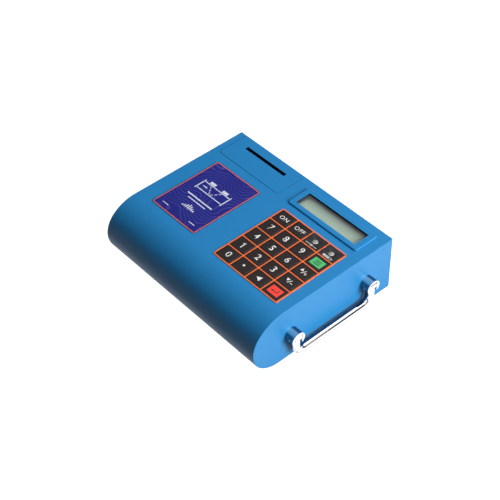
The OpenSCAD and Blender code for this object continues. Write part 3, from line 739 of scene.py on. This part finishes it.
LABEL_BORDER = Finish("label_border", (0.92, 0.155, 0.020), roughness=0.4, shade=0.04)
LABEL_WHITE = Finish("label_white", (0.66, 0.68, 0.80), shade=0.03)
DOME_STEEL = Finish("dome_steel", (0.62, 0.62, 0.64), roughness=0.2, metallic=1.0)
BATTERY_GREEN = Finish("battery_wrap", (0.02, 0.17, 0.06), roughness=0.35, shade=0.06)
CHIP_BLACK = Finish("chip_plastic", (0.02, 0.02, 0.022), roughness=0.55, relief=0.03 * MM)
BOARD_GREEN = Board("board_mask", (0.012, 0.15, 0.05), roughness=0.35, coat=0.3)
BLACK_FILM = Finish("switch_film", (0.02, 0.02, 0.022))
LAMP_GREY = Finish("lamp_lens", (0.33, 0.33, 0.32), roughness=0.22, coat=0.6, shade=0.08)


# Modelling helpers

WELD = 0.0005 * MM
FLAT_ANGLE = math.radians(0.4)
SMOOTH_ANGLE = math.radians(35.0)
ROUNDING_STEPS = 2
STRAIGHT_UP = 0.99


def choose(*pieces: Piece) -> None:
    """Selects some pieces and nothing else.

    Args:
        *pieces: The pieces, of which the first one is made active.
    """
    bpy.ops.object.select_all(action="DESELECT")
    for piece in pieces:
        piece.select_set(True)
    bpy.context.view_layer.objects.active = pieces[0]


@contextmanager
def editing(piece: Piece) -> Iterator[None]:
    """Holds a piece in edit mode.

    Args:
        piece: The piece.
    """
    choose(piece)
    bpy.ops.object.mode_set(mode="EDIT")
    yield
    bpy.ops.object.mode_set(mode="OBJECT")


def pick(piece: Piece, kind: Select, test: Callable[..., bool]) -> None:
    """Selects the faces or edges of a piece in edit mode.

    Args:
        piece: The piece that is being edited.
        kind: Whether faces or edges are picked.
        test: Tells from a face, or from an edge, whether it is picked.
    """
    bpy.ops.mesh.select_mode(type=kind.value)
    bpy.ops.mesh.select_all(action="DESELECT")
    mesh = bmesh.from_edit_mesh(piece.data)
    for item in mesh.faces if kind is Select.FACES else mesh.edges:
        if test(item):
            item.select_set(True)
    mesh.select_flush_mode()
    bmesh.update_edit_mesh(piece.data)


def is_upright(edge: bmesh.types.BMEdge) -> bool:
    """Tells whether an edge runs up."""
    a, b = (v.co for v in edge.verts)
    return abs((b - a).normalized().z) > STRAIGHT_UP


def faces_up(face: Face) -> bool:
    """Tells whether a face looks up."""
    return face.normal.z > STRAIGHT_UP


def is_steep(face: Face) -> bool:
    """Tells whether a face is steeper than 60 degrees."""
    return abs(face.normal.z) < 0.5


def lies_in(face: Face, low: Place, high: Place) -> bool:
    """Tells whether a face's middle lies in a box between two corners."""
    at = face.calc_center_median()
    return all(low[i] < at[i] < high[i] for i in range(3))


def settle(piece: Piece) -> None:
    """Puts a piece's place, turn and size into its mesh."""
    choose(piece)
    bpy.ops.object.transform_apply(location=True, rotation=True, scale=True)


def add_box(name: str, low: Vector, high: Vector) -> Piece:
    """Adds a box between two corners, to be shaped.

    Args:
        name: The piece's name.
        low: The lowest corner.
        high: The highest corner.

    Returns:
        The piece.
    """
    bpy.ops.mesh.primitive_cube_add(size=1.0, location=(low + high) / 2)
    piece = bpy.context.object
    piece.name = name
    piece.scale = high - low
    settle(piece)
    return piece


def modify(piece: Piece, kind: str, **settings: object) -> None:
    """Adds a modifier and applies it.

    Args:
        piece: The piece.
        kind: The modifier's type.
        **settings: The modifier's settings.
    """
    choose(piece)
    modifier = piece.modifiers.new(kind.lower(), kind)
    for name, setting in settings.items():
        setattr(modifier, name, setting)
    bpy.ops.object.modifier_apply(modifier=modifier.name)


def smooth(piece: Piece) -> None:
    """Shades a piece smooth, and keeps its large faces flat.

    Args:
        piece: The piece.
    """
    choose(piece)
    bpy.ops.object.shade_smooth_by_angle(angle=SMOOTH_ANGLE)
    modify(piece, "WEIGHTED_NORMAL", keep_sharp=True, weight=80)


def soften(piece: Piece, width: float, angle: float = 40.0) -> None:
    """Rounds the sharp edges of a piece and shades it smooth.

    Args:
        piece: The piece.
        width: The width of the rounding.
        angle: The least angle of an edge that is rounded, in degrees.
    """
    modify(
        piece,
        "BEVEL",
        width=width,
        segments=ROUNDING_STEPS,
        limit_method="ANGLE",
        angle_limit=math.radians(angle),
        use_clamp_overlap=True,
    )
    smooth(piece)


def join(name: str, pieces: list[Piece]) -> Piece:
    """Joins pieces into one.

    Args:
        name: The name of the joined piece.
        pieces: The pieces, at least one.

    Returns:
        The joined piece.
    """
    choose(*pieces)
    if len(pieces) > 1:
        bpy.ops.object.join()
    pieces[0].name = name
    return pieces[0]


def paint(piece: Piece, *finishes: Finish) -> None:
    """Gives a piece its finishes.

    Args:
        piece: The piece.
        *finishes: The finish of each material slot in order.
    """
    piece.data.materials.clear()
    for finish in finishes:
        piece.data.materials.append(finish.material())


def paint_picked(piece: Piece, slot: int) -> None:
    """Gives the faces that are picked in edit mode one of the piece's finishes."""
    piece.active_material_index = slot
    bpy.ops.object.material_slot_assign()


def paint_shell(piece: Piece, is_shaded_black: Callable[[Face], bool]) -> None:
    """Paints a shell blue, with some of its faces black, mainly as painted shade.

    Args:
        piece: The shell.
        is_shaded_black: Tells whether a face is painted black as shade.
    """
    paint(piece, BLUE, BLACK_AND_SHADE)
    with editing(piece):
        pick(piece, Select.FACES, is_shaded_black)
        paint_picked(piece, 1)


def mount(piece: Piece, node: str) -> None:
    """Puts a piece in the place of a CAD node, on the same body.

    Args:
        piece: The piece.
        node: The node that the piece stands for.
    """
    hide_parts(node)
    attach(piece, frame["nodes"][node]["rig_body"])


def smooth_copy(
    node: str, width: float, angle: float = 40.0, merge_flats: bool = True
) -> Piece:
    """Makes a smooth piece from a CAD node, with its sharp edges broken.

    Args:
        node: The node that the piece stands for.
        width: The width of the broken edges, or 0 for none.
        angle: The least angle of an edge that is broken, in degrees.
        merge_flats: Whether the triangles of a flat become one face.

    Returns:
        The piece.
    """
    source = frame["nodes"][node]
    piece = bpy.data.objects.new(node + "_finished", source.data.copy())
    bpy.context.scene.collection.objects.link(piece)
    with editing(piece):
        bpy.ops.mesh.select_all(action="SELECT")
        bpy.ops.mesh.remove_doubles(threshold=WELD)
        if merge_flats:
            bpy.ops.mesh.dissolve_limited(angle_limit=FLAT_ANGLE)
    if width:
        soften(piece, width, angle)
    else:
        smooth(piece)
    mount(piece, node)
    return piece


def dress(width: float, **finishes: Finish) -> None:
    """Dresses CAD nodes in one finish each, with broken edges of one width."""
    for node, finish in finishes.items():
        paint(smooth_copy(node, width), finish)


# Raised prints


@dataclass(frozen=True)
class Stroke:
    """One mark of a print, placed in millimetres from the print's middle.

    It is a bar, turned about its middle. Without a width it is a triangle, which has its
    length as its radius and points along its turn.
    """

    x: float
    y: float
    length: float
    width: float = 0.0
    turn: float = 0.0


@dataclass(frozen=True)
class Ink:
    """Ink that stands a little above what it is printed on."""

    thickness: float = 0.03 * MM
    spacing: float = 1.12
    curve_steps: int = 6
    weld: float = 0.0001 * MM

    def lift(self, piece: Piece, shift: Vector) -> Piece:
        """Moves a flat print to its place and gives it the thickness of the ink.

        Args:
            piece: The flat print, as a mesh.
            shift: How far it moves.

        Returns:
            The print.
        """
        piece.location = shift
        settle(piece)
        with editing(piece):
            bpy.ops.mesh.select_all(action="SELECT")
            bpy.ops.mesh.remove_doubles(threshold=self.weld)
            bpy.ops.mesh.extrude_region_move(
                TRANSFORM_OT_translate={"value": (0.0, 0.0, self.thickness)}
            )
            bpy.ops.mesh.select_all(action="SELECT")
            bpy.ops.mesh.normals_make_consistent(inside=False)
        return piece

    def word(self, text: str, size: float, weight: float, at: Vector) -> Piece:
        """Prints a word.

        Args:
            text: What it says.
            size: Its size.
            weight: How much bolder it is.
            at: Its middle.

        Returns:
            The word as a mesh in its place.
        """
        bpy.ops.object.text_add(location=(0.0, 0.0, 0.0))
        piece = bpy.context.object
        piece.data.body = text
        piece.data.size = 1.0
        piece.data.offset = weight
        piece.data.space_character = self.spacing
        piece.data.resolution_u = self.curve_steps
        choose(piece)
        bpy.ops.object.convert(target="MESH")
        piece = bpy.context.object
        piece.scale = (size, size, size)
        settle(piece)
        corners = [Vector(corner) for corner in piece.bound_box]
        lowest, highest = corners[0], corners[6]
        return self.lift(piece, at - (lowest + highest) / 2)

    def mark(self, stroke: Stroke, at: Vector) -> Piece:
        """Prints one mark.

        Args:
            stroke: What it is.
            at: The middle of the print that it belongs to.

        Returns:
            The mark.
        """
        if stroke.width:
            bpy.ops.mesh.primitive_plane_add(size=1.0)
            piece = bpy.context.object
            piece.scale = (stroke.length * MM, stroke.width * MM, 1.0)
            piece.rotation_euler = (0.0, 0.0, stroke.turn)
        else:
            radius = stroke.length * MM
            bpy.ops.mesh.primitive_circle_add(vertices=3, radius=radius, fill_type="NGON")
            piece = bpy.context.object
            piece.rotation_euler = (0.0, 0.0, stroke.turn - UP)
        settle(piece)
        return self.lift(piece, at + Vector((stroke.x, stroke.y, 0.0)) * MM)

    def draw(self, name: str, strokes: Iterable[Stroke], at: Vector) -> Piece:
        """Prints some marks as one piece."""
        return join(name, [self.mark(stroke, at) for stroke in strokes])


INK = Ink()
POINT = (Stroke(-0.7, 0.9, 2.4, 2.4),)
ONE = (Stroke(0.7, 0.0, 8.0, 1.15, UP), Stroke(-0.35, 2.75, 2.7, 1.1, 0.62))
BACK_ARROW = (Stroke(0.0, 0.0, 3.8, turn=LEFT),)
SLASH_MINUS = (Stroke(0.3, 0.0, 6.4, 0.75, math.radians(62)), Stroke(3.4, -1.1, 3.2, 0.8))
UP_PLUS = (Stroke(-2.9, 1.3, 2.4, turn=UP), *SLASH_MINUS, Stroke(3.4, -1.1, 3.2, 0.8, UP))
DOWN_MINUS = (Stroke(-2.9, 1.3, 2.4, turn=-UP), *SLASH_MINUS)
MENU_LINES = tuple(Stroke(0.0, y, 7.6, 0.95) for y in (-2.3, 0.0, 2.3))
RETURN_ARROW = (
    Stroke(0.6, -0.9, 6.2, 0.95),
    Stroke(3.3, 0.75, 4.2, 0.95, UP),
    Stroke(-2.9, -0.9, 1.9, turn=LEFT),
)
CHARGE_BOLT = (
    Stroke(-0.8, 0.45, 3.6, 0.75, 0.3),
    Stroke(0.8, -0.45, 3.6, 0.75, 0.3),
    *(Stroke(side * x, 0.0, 1.9, 0.6) for x in (4.0, 6.5) for side in (-1, 1)),
)
BATTERY = (
    Stroke(0.0, 1.1, 11.6, 0.45),
    Stroke(0.0, -1.1, 11.6, 0.45),
    Stroke(-5.6, 0.0, 2.6, 0.45, UP),
    Stroke(5.6, 0.0, 2.6, 0.45, UP),
    Stroke(6.3, 0.0, 1.2, 0.7, UP),
    *(Stroke(x, 0.0, 1.1, 1.9, UP) for x in (-3.9, -1.3, 1.3)),
)
SIGNS: dict[str, tuple[Stroke, ...]] = {"charge_light": CHARGE_BOLT, "battery_light": BATTERY}


# Sub-assemblies


@dataclass
class Case:
    """The painted housing with its base."""

    edge: float = 0.45 * MM
    plate_edge: float = 0.25 * MM
    foot_edge: float = 0.6 * MM
    seam: float = 0.5 * MM
    wall: float = 2.5 * MM
    rearward: float = 0.3
    head: float = 2.9 * MM
    recess_length: float = 1.7 * MM
    recess_width: float = 0.35 * MM
    recess_depth: float = 0.9 * MM

    def build(self) -> None:
        """Builds the case's pieces."""
        self.build_housing()
        dress(self.plate_edge, bottom_cover=ALUMINIUM)
        dress(self.foot_edge, rubber_feet=RUBBER)
        self.build_screws()

    def build_housing(self) -> None:
        """Builds the housing, with painted shade along the front seam of the printer cover."""
        piece = smooth_copy("upper_housing", self.edge)
        low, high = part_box("printer_cover")
        seam_low = (low.x, low.y - self.seam - self.edge, high.z - self.wall)
        seam_high = (high.x, low.y, math.inf)
        # Painted shade: the housing's wall in the seam gap in front of the cover is painted
        # dark.
        paint_shell(
            piece, lambda f: f.normal.y > self.rearward and lies_in(f, seam_low, seam_high)
        )

    def build_screws(self) -> None:
        """Builds the base's screws, each with a cross recess in its head."""
        piece = smooth_copy("bottom_screws", 0.0)
        low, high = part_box("bottom_screws")
        for reach in (
            Vector((self.recess_length, self.recess_width, self.recess_depth)),
            Vector((self.recess_width, self.recess_length, self.recess_depth)),
        ):
            cutters = []
            for x in (low.x + self.head, (low.x + high.x) / 2, high.x - self.head):
                for y in (low.y + self.head, high.y - self.head):
                    at = Vector((x, y, low.z))
                    cutters.append(add_box("cutter", at - reach, at + reach))
            cutter = join("screw_cutter", cutters)
            modify(piece, "BOOLEAN", operation="DIFFERENCE", object=cutter, solver="EXACT")
            bpy.data.objects.remove(cutter)
        paint(piece, ZINC)


@dataclass
class DisplayUnit:
    """The display with its frame on the case."""

    edge: float = 0.35 * MM
    edge_angle: float = 30.0
    glass_edge: float = 0.2 * MM
    frame_edge: float = 0.15 * MM
    board_edge: float = 0.1 * MM
    lap: float = 1.2 * MM
    near: float = 0.1 * MM
    wipe: float = 7 * MM

    def build(self) -> None:
        """Builds the display's pieces."""
        low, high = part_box("display_window")
        inset = Vector((self.lap, self.lap, 0.0))
        view = low + inset, high - inset
        self.build_bezel(*view)
        self.build_panel(*view)
        dress(self.frame_edge, display_frame=BLACK_AND_SHADE)
        dress(self.board_edge, display_board=BOARD_GREEN, display_spacers=ZINC)
        window = smooth_copy("display_window", self.glass_edge)
        window.data.materials.clear()
        window.data.materials.append(self.clear_material())

    def build_bezel(self, low: Vector, high: Vector) -> None:
        """Builds the raised frame, whose opening walls are painted black, partly as the dark
        frame inside and partly as painted shade.

        Args:
            low: The lowest corner of the view.
            high: The highest corner of the view.
        """
        piece = smooth_copy("display_bezel", self.edge, self.edge_angle)
        opening_low = (low.x - self.near, low.y - self.near, -math.inf)
        opening_high = (high.x + self.near, high.y + self.near, math.inf)
        # Painted shade: the opening's steep walls are painted black.
        paint_shell(piece, lambda f: is_steep(f) and lies_in(f, opening_low, opening_high))

    def build_panel(self, low: Vector, high: Vector) -> None:
        """Builds the panel that shows in the window.

        Args:
            low: The lowest corner of the view.
            high: The highest corner of the view.
        """
        glass = Display(
            "display_glass",
            (0.352, 0.48, 0.375),
            roughness=0.3,
            coat=0.2,
            coat_roughness=0.06,
            low=tuple(low),
            high=tuple(high),
        )
        paint(smooth_copy("display_panel", self.glass_edge), glass)

    def clear_material(self) -> bpy.types.Material:
        """Gives the clear window its material, with faint wipe marks.

        Returns:
            The material.
        """
        made = bpy.data.materials.new("clear_window")
        graph = Graph(made)
        marks = graph.noise(self.wipe, 4.0, (3.0, 1.0, 1.0))
        graph.surface(
            {
                "Base Color": (0.85, 0.92, 0.90, 1.0),
                "Roughness": marks * 0.06 + 0.03,
                "Alpha": marks * 0.05 + 0.04,
                "Coat Weight": 0.2,
            }
        )
        return made


@dataclass(frozen=True)
class KeyPlan:
    """What one key carries: a word, or the strokes of a sign."""

    node: str
    word: str = ""
    strokes: tuple[Stroke, ...] = ()
    size: float = 11.0 * MM
    weight: float = 0.008
    finish: Finish = KEY_BLACK


KEYS: tuple[KeyPlan, ...] = (
    KeyPlan("key_on", "ON", size=7.2 * MM, weight=0.006),
    KeyPlan("key_off", "OFF", size=7.2 * MM, weight=0.006),
    *(KeyPlan(f"key_{n}", str(n)) for n in (0, *range(2, 10))),
    KeyPlan("key_1", strokes=ONE),
    KeyPlan("key_point", strokes=POINT),
    KeyPlan("key_back", strokes=BACK_ARROW),
    KeyPlan("key_up", strokes=UP_PLUS),
    KeyPlan("key_down", strokes=DOWN_MINUS),
    KeyPlan("key_menu", strokes=MENU_LINES, finish=KEY_GREEN),
    KeyPlan("key_enter", strokes=RETURN_ARROW, finish=KEY_RED),
)


@dataclass
class Keypad:
    """The membrane keypad with its embossed keys and their legends."""

    rim: float = 1.25 * MM
    slope: float = 0.45 * MM
    emboss: float = 0.22 * MM
    field_rim: float = 3.1 * MM
    corner: float = 0.8 * MM
    corner_steps: int = 4
    key_edge: float = 0.1 * MM
    key_angle: float = 15.0
    dome_edge: float = 0.05 * MM
    lens_edge: float = 0.12 * MM
    cell_rim: float = 0.15 * MM
    cell_lap: float = 0.03 * MM
    sign_drop: float = 5.9 * MM
    sign_lift: float = 0.005 * MM

    def build(self) -> None:
        """Builds the keypad's pieces."""
        for plan in KEYS:
            self.build_key(plan)
        paint(smooth_copy("switch_film", 0.0, merge_flats=False), BLACK_FILM)
        dress(self.dome_edge, key_domes=DOME_STEEL)
        self.build_overlay()
        dress(self.lens_edge, charge_light=LAMP_GREY, battery_light=LAMP_GREY)
        self.build_signs()

    def build_key(self, plan: KeyPlan) -> None:
        """Builds one embossed key with its legend.

        Args:
            plan: What the key carries.
        """
        low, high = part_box(plan.node)
        key = add_box(plan.node + "_cap", low, high)
        coloured = plan.finish is not KEY_BLACK
        paint(key, KEY_BLACK, plan.finish)
        with editing(key):
            pick(key, Select.FACES, faces_up)
            bpy.ops.mesh.inset(thickness=self.field_rim if coloured else self.rim)
            bpy.ops.mesh.inset(thickness=self.slope)
            bpy.ops.transform.translate(value=(0.0, 0.0, self.emboss))
            paint_picked(key, 1)
            pick(key, Select.EDGES, is_upright)
            bpy.ops.mesh.bevel(offset=self.corner, segments=self.corner_steps)
        soften(key, self.key_edge, self.key_angle)
        mount(key, plan.node)
        middle = Vector(((low.x + high.x) / 2, (low.y + high.y) / 2, high.z + self.emboss))
        if plan.word:
            legend = INK.word(plan.word, plan.size, plan.weight, middle)
        else:
            legend = INK.draw("legend", plan.strokes, middle)
        legend.name = plan.node + "_legend"
        paint(legend, LEGEND_DARK if coloured else LEGEND_WHITE)
        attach(legend, plan.node)

    def build_overlay(self) -> None:
        """Builds the film with its lines, dark in the cells of the lights."""
        piece = smooth_copy("keypad_overlay", 0.0, merge_flats=False)
        key_low, key_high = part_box("key_on")
        half = (key_high - key_low) / 2 + Vector((self.cell_rim, self.cell_rim, 0.0))
        cells = []
        for node in SIGNS:
            low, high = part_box(node)
            centre = (low + high) / 2
            cells.append((*(centre - half).xy, *(centre + half).xy))
        film = KeypadFilm(
            "keypad_film",
            (0.92, 0.170, 0.036),
            roughness=0.4,
            shade=0.04,
            grain=0.35 * MM,
            relief=0.01 * MM,
            cells=tuple(cells),
            top=key_high.z + self.cell_lap,
        )
        paint(piece, film)

    def build_signs(self) -> None:
        """Builds the two lights' signs: a charging bolt, and a battery."""
        for node, strokes in SIGNS.items():
            low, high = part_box(node)
            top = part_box("key_on")[1].z + self.sign_lift
            at = Vector(((low.x + high.x) / 2, (low.y + high.y) / 2 - self.sign_drop, top))
            sign = INK.draw(node + "_sign", strokes, at)
            paint(sign, LEGEND_WHITE)
            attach(sign, "case")


@dataclass
class NameLabel:
    """The printed label on the case, with a design of its own.

    The measures of its picture are in millimetres.
    """

    corner: float = 3.2 * MM
    corner_steps: int = 6
    margin: float = 0.8 * MM
    border: float = 0.85 * MM
    edge: float = 0.08 * MM
    pipe_height: float = 9.0
    pipe_reach: float = 20.0
    pipe_bore: float = 6.0
    probe_place: float = 9.5
    graph_floor: float = -26.5
    graph_bars: tuple[float, ...] = (2.0, 3.4, 5.2, 7.0, 5.6, 3.8, 2.4)
    graph_pitch: float = 2.7

    def build(self) -> None:
        """Builds the label with its print."""
        low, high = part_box("name_label")
        centre = (low + high) / 2
        field = LabelField(
            "label_field", (0.014, 0.016, 0.19), specular=0.16, centre=tuple(centre)
        )
        label = add_box("name_label_film", low, high)
        paint(label, LABEL_EDGE, LABEL_BORDER, field)
        with editing(label):
            pick(label, Select.EDGES, is_upright)
            bpy.ops.mesh.bevel(offset=self.corner, segments=self.corner_steps)
            pick(label, Select.FACES, faces_up)
            bpy.ops.mesh.inset(thickness=self.margin)
            paint_picked(label, 1)
            bpy.ops.mesh.inset(thickness=self.border)
            paint_picked(label, 2)
        soften(label, self.edge)
        mount(label, "name_label")
        at = Vector((centre.x, centre.y, high.z))
        picture = INK.draw("name_label_print", self.picture(), at)
        paint(picture, LABEL_WHITE)
        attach(picture, "case")

    def picture(self) -> Iterator[Stroke]:
        """Gives the strokes of the picture from the rear to the front.

        Returns:
            The strokes of the pipe, then of the lines of print and the bar graph.
        """
        yield from self.pipe()
        yield Stroke(0.0, -9.0, 38.0, 1.6)
        yield Stroke(0.0, -13.6, 27.0, 1.2)
        for column, height in enumerate(self.graph_bars, -(len(self.graph_bars) // 2)):
            middle = self.graph_floor + height / 2
            yield Stroke(column * self.graph_pitch, middle, height, 1.5, UP)
        for side in (-1, 1):
            yield Stroke(side * 21.0, -37.5, 9.0, 0.9)

    def pipe(self) -> Iterator[Stroke]:
        """Gives a pipe with two transducers, the path of the sound and the flow's arrow.

        Returns:
            The strokes of the pipe.
        """
        height, reach, bore = self.pipe_height, self.pipe_reach, self.pipe_bore
        slope = math.atan2(2 * bore, self.probe_place)
        for side in (-1, 1):
            yield Stroke(0.0, height + side * bore, 2 * reach, 1.1)
            yield Stroke(side * reach, height, 2 * bore + 4.5, 1.3, UP)
            yield Stroke(side * self.probe_place, height + bore + 2.9, 8.0, 3.6)
            for share in (0.2, 0.5, 0.8):
                rise = height + bore * (2 * share - 1)
                yield Stroke(side * self.probe_place * share, rise, 3.0, 0.8, side * slope)
        yield Stroke(-13.5, height, 4.5, 1.0)
        yield Stroke(-10.6, height, 1.7)


@dataclass
class Printer:
    """The panel printer under its hinged cover."""

    edge: float = 0.35 * MM
    part_edge: float = 0.2 * MM
    thickness: float = 2.6 * MM
    rim: float = 12.0 * MM
    back: float = 8.0 * MM
    level: float = 0.9

    def build(self) -> None:
        """Builds the printer's pieces."""
        self.build_cover()
        dress(
            self.part_edge,
            cover_hinge_pin=STEEL,
            printer_chassis=BLACK_PLASTIC,
            thermal_head=ALUMINIUM,
            platen_shaft=STEEL,
            platen_roller=ROLLER_RUBBER,
            printer_motor=ZINC,
            roll_spindle=BLACK_PLASTIC,
        )
        dress(0.0, platen_gear=GEAR_WHITE, motor_gear=BRASS)
        low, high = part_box("paper_roll")
        centre = tuple((low + high) / 2)
        paper = WoundPaper("thermal_paper", (0.84, 0.84, 0.81), roughness=0.7, centre=centre)
        dress(self.part_edge, paper_roll=paper)

    def build_cover(self) -> None:
        """Builds the cover, with painted shade in its paper slot and along its front edge."""
        piece = smooth_copy("printer_cover", self.edge)
        low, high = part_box("printer_cover")
        paint_shell(piece, lambda face: self.is_dark(face, low, high))

    def is_dark(self, face: Face, low: Vector, high: Vector) -> bool:
        """Tells whether a face lies in the paper slot, or on the cover's front edge, where shade
        is painted.

        Args:
            face: The face.
            low: The lowest corner of the cover.
            high: The highest corner of the cover.

        Returns:
            Whether it is dark.
        """
        # Painted shade: the paper slot's walls and the cover's front edge are painted dark.
        at = face.calc_center_median()
        if at.z < high.z - self.thickness or abs(face.normal.z) > self.level:
            return False
        in_slot = (
            low.x + self.rim < at.x < high.x - self.rim
            and low.y + self.rim < at.y < high.y - self.back
            and is_steep(face)
        )
        return in_slot or at.y < low.y + self.edge


@dataclass
class Handle:
    """The folding handle with its two posts."""

    post_edge: float = 0.7 * MM
    rounding: float = 1.2
    edge: float = 0.25 * MM
    pin_edge: float = 0.15 * MM

    def build(self) -> None:
        """Builds the handle's pieces."""
        for node in ("post_front", "post_rear"):
            low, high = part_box(node)
            # The posts' plating carries painted reflections.
            plating = PostChrome(
                node + "_chrome",
                centre=tuple((low + high) / 2),
                radius=(high.z - low.z) / 2,
                end=high.x - self.rounding * self.post_edge,
            )
            paint(smooth_copy(node, self.post_edge), plating)
        low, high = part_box("handle")
        radius = (high.x - low.x) / 2
        # The rod's plating carries painted reflections.
        plating = RodChrome(
            "handle_chrome", middle=low.x + radius, bar=low.z + radius, radius=radius
        )
        dress(self.edge, handle=plating)
        dress(self.pin_edge, handle_pins=STEEL)
        dress(self.edge, post_nuts=ZINC)


@dataclass
class Sockets:
    """The sockets on the left end."""

    edge: float = 0.25 * MM

    def build(self) -> None:
        """Builds the sockets."""
        dress(self.edge, upstream_socket=ZINC, downstream_socket=ZINC, serial_port=ZINC)
        dress(self.edge, charger_jack=SOCKET_PLASTIC)


@dataclass
class Electronics:
    """The main board and the battery."""

    edge: float = 0.2 * MM

    def build(self) -> None:
        """Builds the electronics."""
        dress(self.edge, main_board=BOARD_GREEN, board_components=CHIP_BLACK)
        dress(self.edge, board_standoffs=ZINC)
        dress(self.edge, battery_pack=BATTERY_GREEN, battery_bracket=ALUMINIUM)


@dataclass(frozen=True)
class Lamp:
    """A soft square light that faces the object, with its side in metres."""

    name: str
    at: Place
    side: float
    watts: float

    def build(self) -> None:
        """Builds the light."""
        data = bpy.data.lights.new(self.name, "AREA")
        data.size = self.side
        data.energy = self.watts
        lamp = bpy.data.objects.new(self.name, data)
        bpy.context.scene.collection.objects.link(lamp)
        lamp.location = self.at
        lamp.rotation_euler = (-Vector(self.at)).to_track_quat("-Z", "Y").to_euler()


@dataclass
class Studio:
    """The floor, the lights and the camera.

    The band holds the heights where the surroundings on the right turn dark and pale again.
    """

    focal: float = 92.007
    sensor: float = 36.0
    eye: Place = (0.71261, -0.613935, 0.96458)
    right: Place = (0.66457, 0.74707, -0.01547)
    down: Place = (0.51752, -0.47511, -0.71165)
    ahead: Place = (-0.53900, 0.46494, -0.70236)
    floor_side: float = 14.0
    floor_drop: float = 0.2 * MM
    floor_patch: float = 600 * MM
    floor_step: float = 110 * MM
    floor_steepness: float = 30.0
    floor_glow: float = 2.4
    fill: float = 0.04
    sky: float = 2.2
    ceiling: float = 0.76
    ceiling_steepness: float = 16.0
    wall_steepness: float = 6.0
    band: tuple[float, ...] = (0.17, 0.20, 0.42, 0.46)
    pale: Colour = grey(0.9)
    shadow: Colour = (0.01, 0.03, 0.07)
    backdrop: Colour = (0.93, 0.94, 0.95)
    lamps: tuple[Lamp, ...] = (
        Lamp("key", (1.65, 0.33, 0.80), 1.1, 50.0),
        Lamp("top", (0.1, 0.9, 1.6), 1.2, 18.0),
    )

    def build(self) -> None:
        """Builds the studio."""
        self.build_floor()
        self.build_world()
        for lamp in self.lamps:
            lamp.build()
        self.build_camera()

    def build_camera(self) -> None:
        """Builds the camera at the photograph's view."""
        data = bpy.data.cameras.new("camera")
        data.lens = self.focal
        data.sensor_width = self.sensor
        camera = bpy.data.objects.new("camera", data)
        bpy.context.scene.collection.objects.link(camera)
        rows = (Vector(self.right), -Vector(self.down), -Vector(self.ahead))
        turn = Matrix(rows).transposed().to_4x4()
        camera.matrix_world = Matrix.Translation(Vector(self.eye)) @ turn
        bpy.context.scene.camera = camera

    def build_floor(self) -> None:
        """Builds the pale floor, which is brighter past the object's right end."""
        bpy.ops.mesh.primitive_plane_add(
            size=self.floor_side, location=(0.0, 0.0, -self.floor_drop)
        )
        floor = bpy.context.object
        floor.name = "floor"
        made = bpy.data.materials.new("pale_floor")
        graph = Graph(made)
        drift = graph.noise(self.floor_patch, 1.0)
        beyond = (graph.axes()[0] - self.floor_step) * self.floor_steepness
        graph.surface(
            {
                "Base Color": graph.blend(drift, grey(0.20), grey(0.23)),
                "Roughness": 0.9,
                "Specular IOR Level": 0.1,
                "Emission Color": graph.blend(beyond, grey(0.46), grey(1.0)),
                "Emission Strength": self.floor_glow,
            }
        )
        floor.data.materials.append(made)
        floor.visible_diffuse = False

    def build_world(self) -> None:
        """Builds the surroundings, which light little.

        A mirror sees them pale overhead, pale on the right with a dark band, and dark elsewhere.
        """
        world = bpy.data.worlds.new("studio")
        bpy.context.scene.world = world
        graph = Graph(world)
        way = graph.add("ShaderNodeTexCoord").outputs["Generated"]
        parts = graph.add("ShaderNodeSeparateXYZ", inputs={0: way}).outputs
        right, up = Value(graph, parts[0]), Value(graph, parts[2])
        stops = tuple(zip(self.band, (self.pale, self.shadow, self.shadow, self.pale)))
        walls = graph.add("ShaderNodeValToRGB", {"stops": stops}, {0: up}).outputs[0]
        beside = graph.blend(right * self.wall_steepness, self.shadow, walls)
        overhead = (up - self.ceiling) * self.ceiling_steepness
        mirrored = graph.blend(overhead, beside, self.pale)
        rays = graph.add("ShaderNodeLightPath").outputs
        glossy = Value(graph, rays["Is Glossy Ray"])
        seen = graph.blend(glossy, grey(self.fill), mirrored)
        colour = graph.blend(Value(graph, rays["Is Camera Ray"]), seen, self.backdrop)
        strength = glossy * (self.sky - 1.0) + 1.0
        back = graph.add("ShaderNodeBackground", inputs={"Color": colour, "Strength": strength})
        graph.add("ShaderNodeOutputWorld", inputs={"Surface": back.outputs[0]})


def main() -> None:
    """Builds every sub-assembly in order, and reports each piece."""
    logging.basicConfig(level=logging.INFO, format="%(name)s: %(message)s")
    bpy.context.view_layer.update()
    bpy.context.scene.view_settings.view_transform = "Standard"
    for assembly in (
        Studio(),
        Case(),
        DisplayUnit(),
        Keypad(),
        NameLabel(),
        Printer(),
        Handle(),
        Sockets(),
        Electronics(),
    ):
        before = set(bpy.data.objects.keys())
        assembly.build()
        for piece in bpy.data.objects.keys():
            if piece not in before:
                log.info("%s holds %s", type(assembly).__name__, piece)


if __name__ == "__main__":
    main()
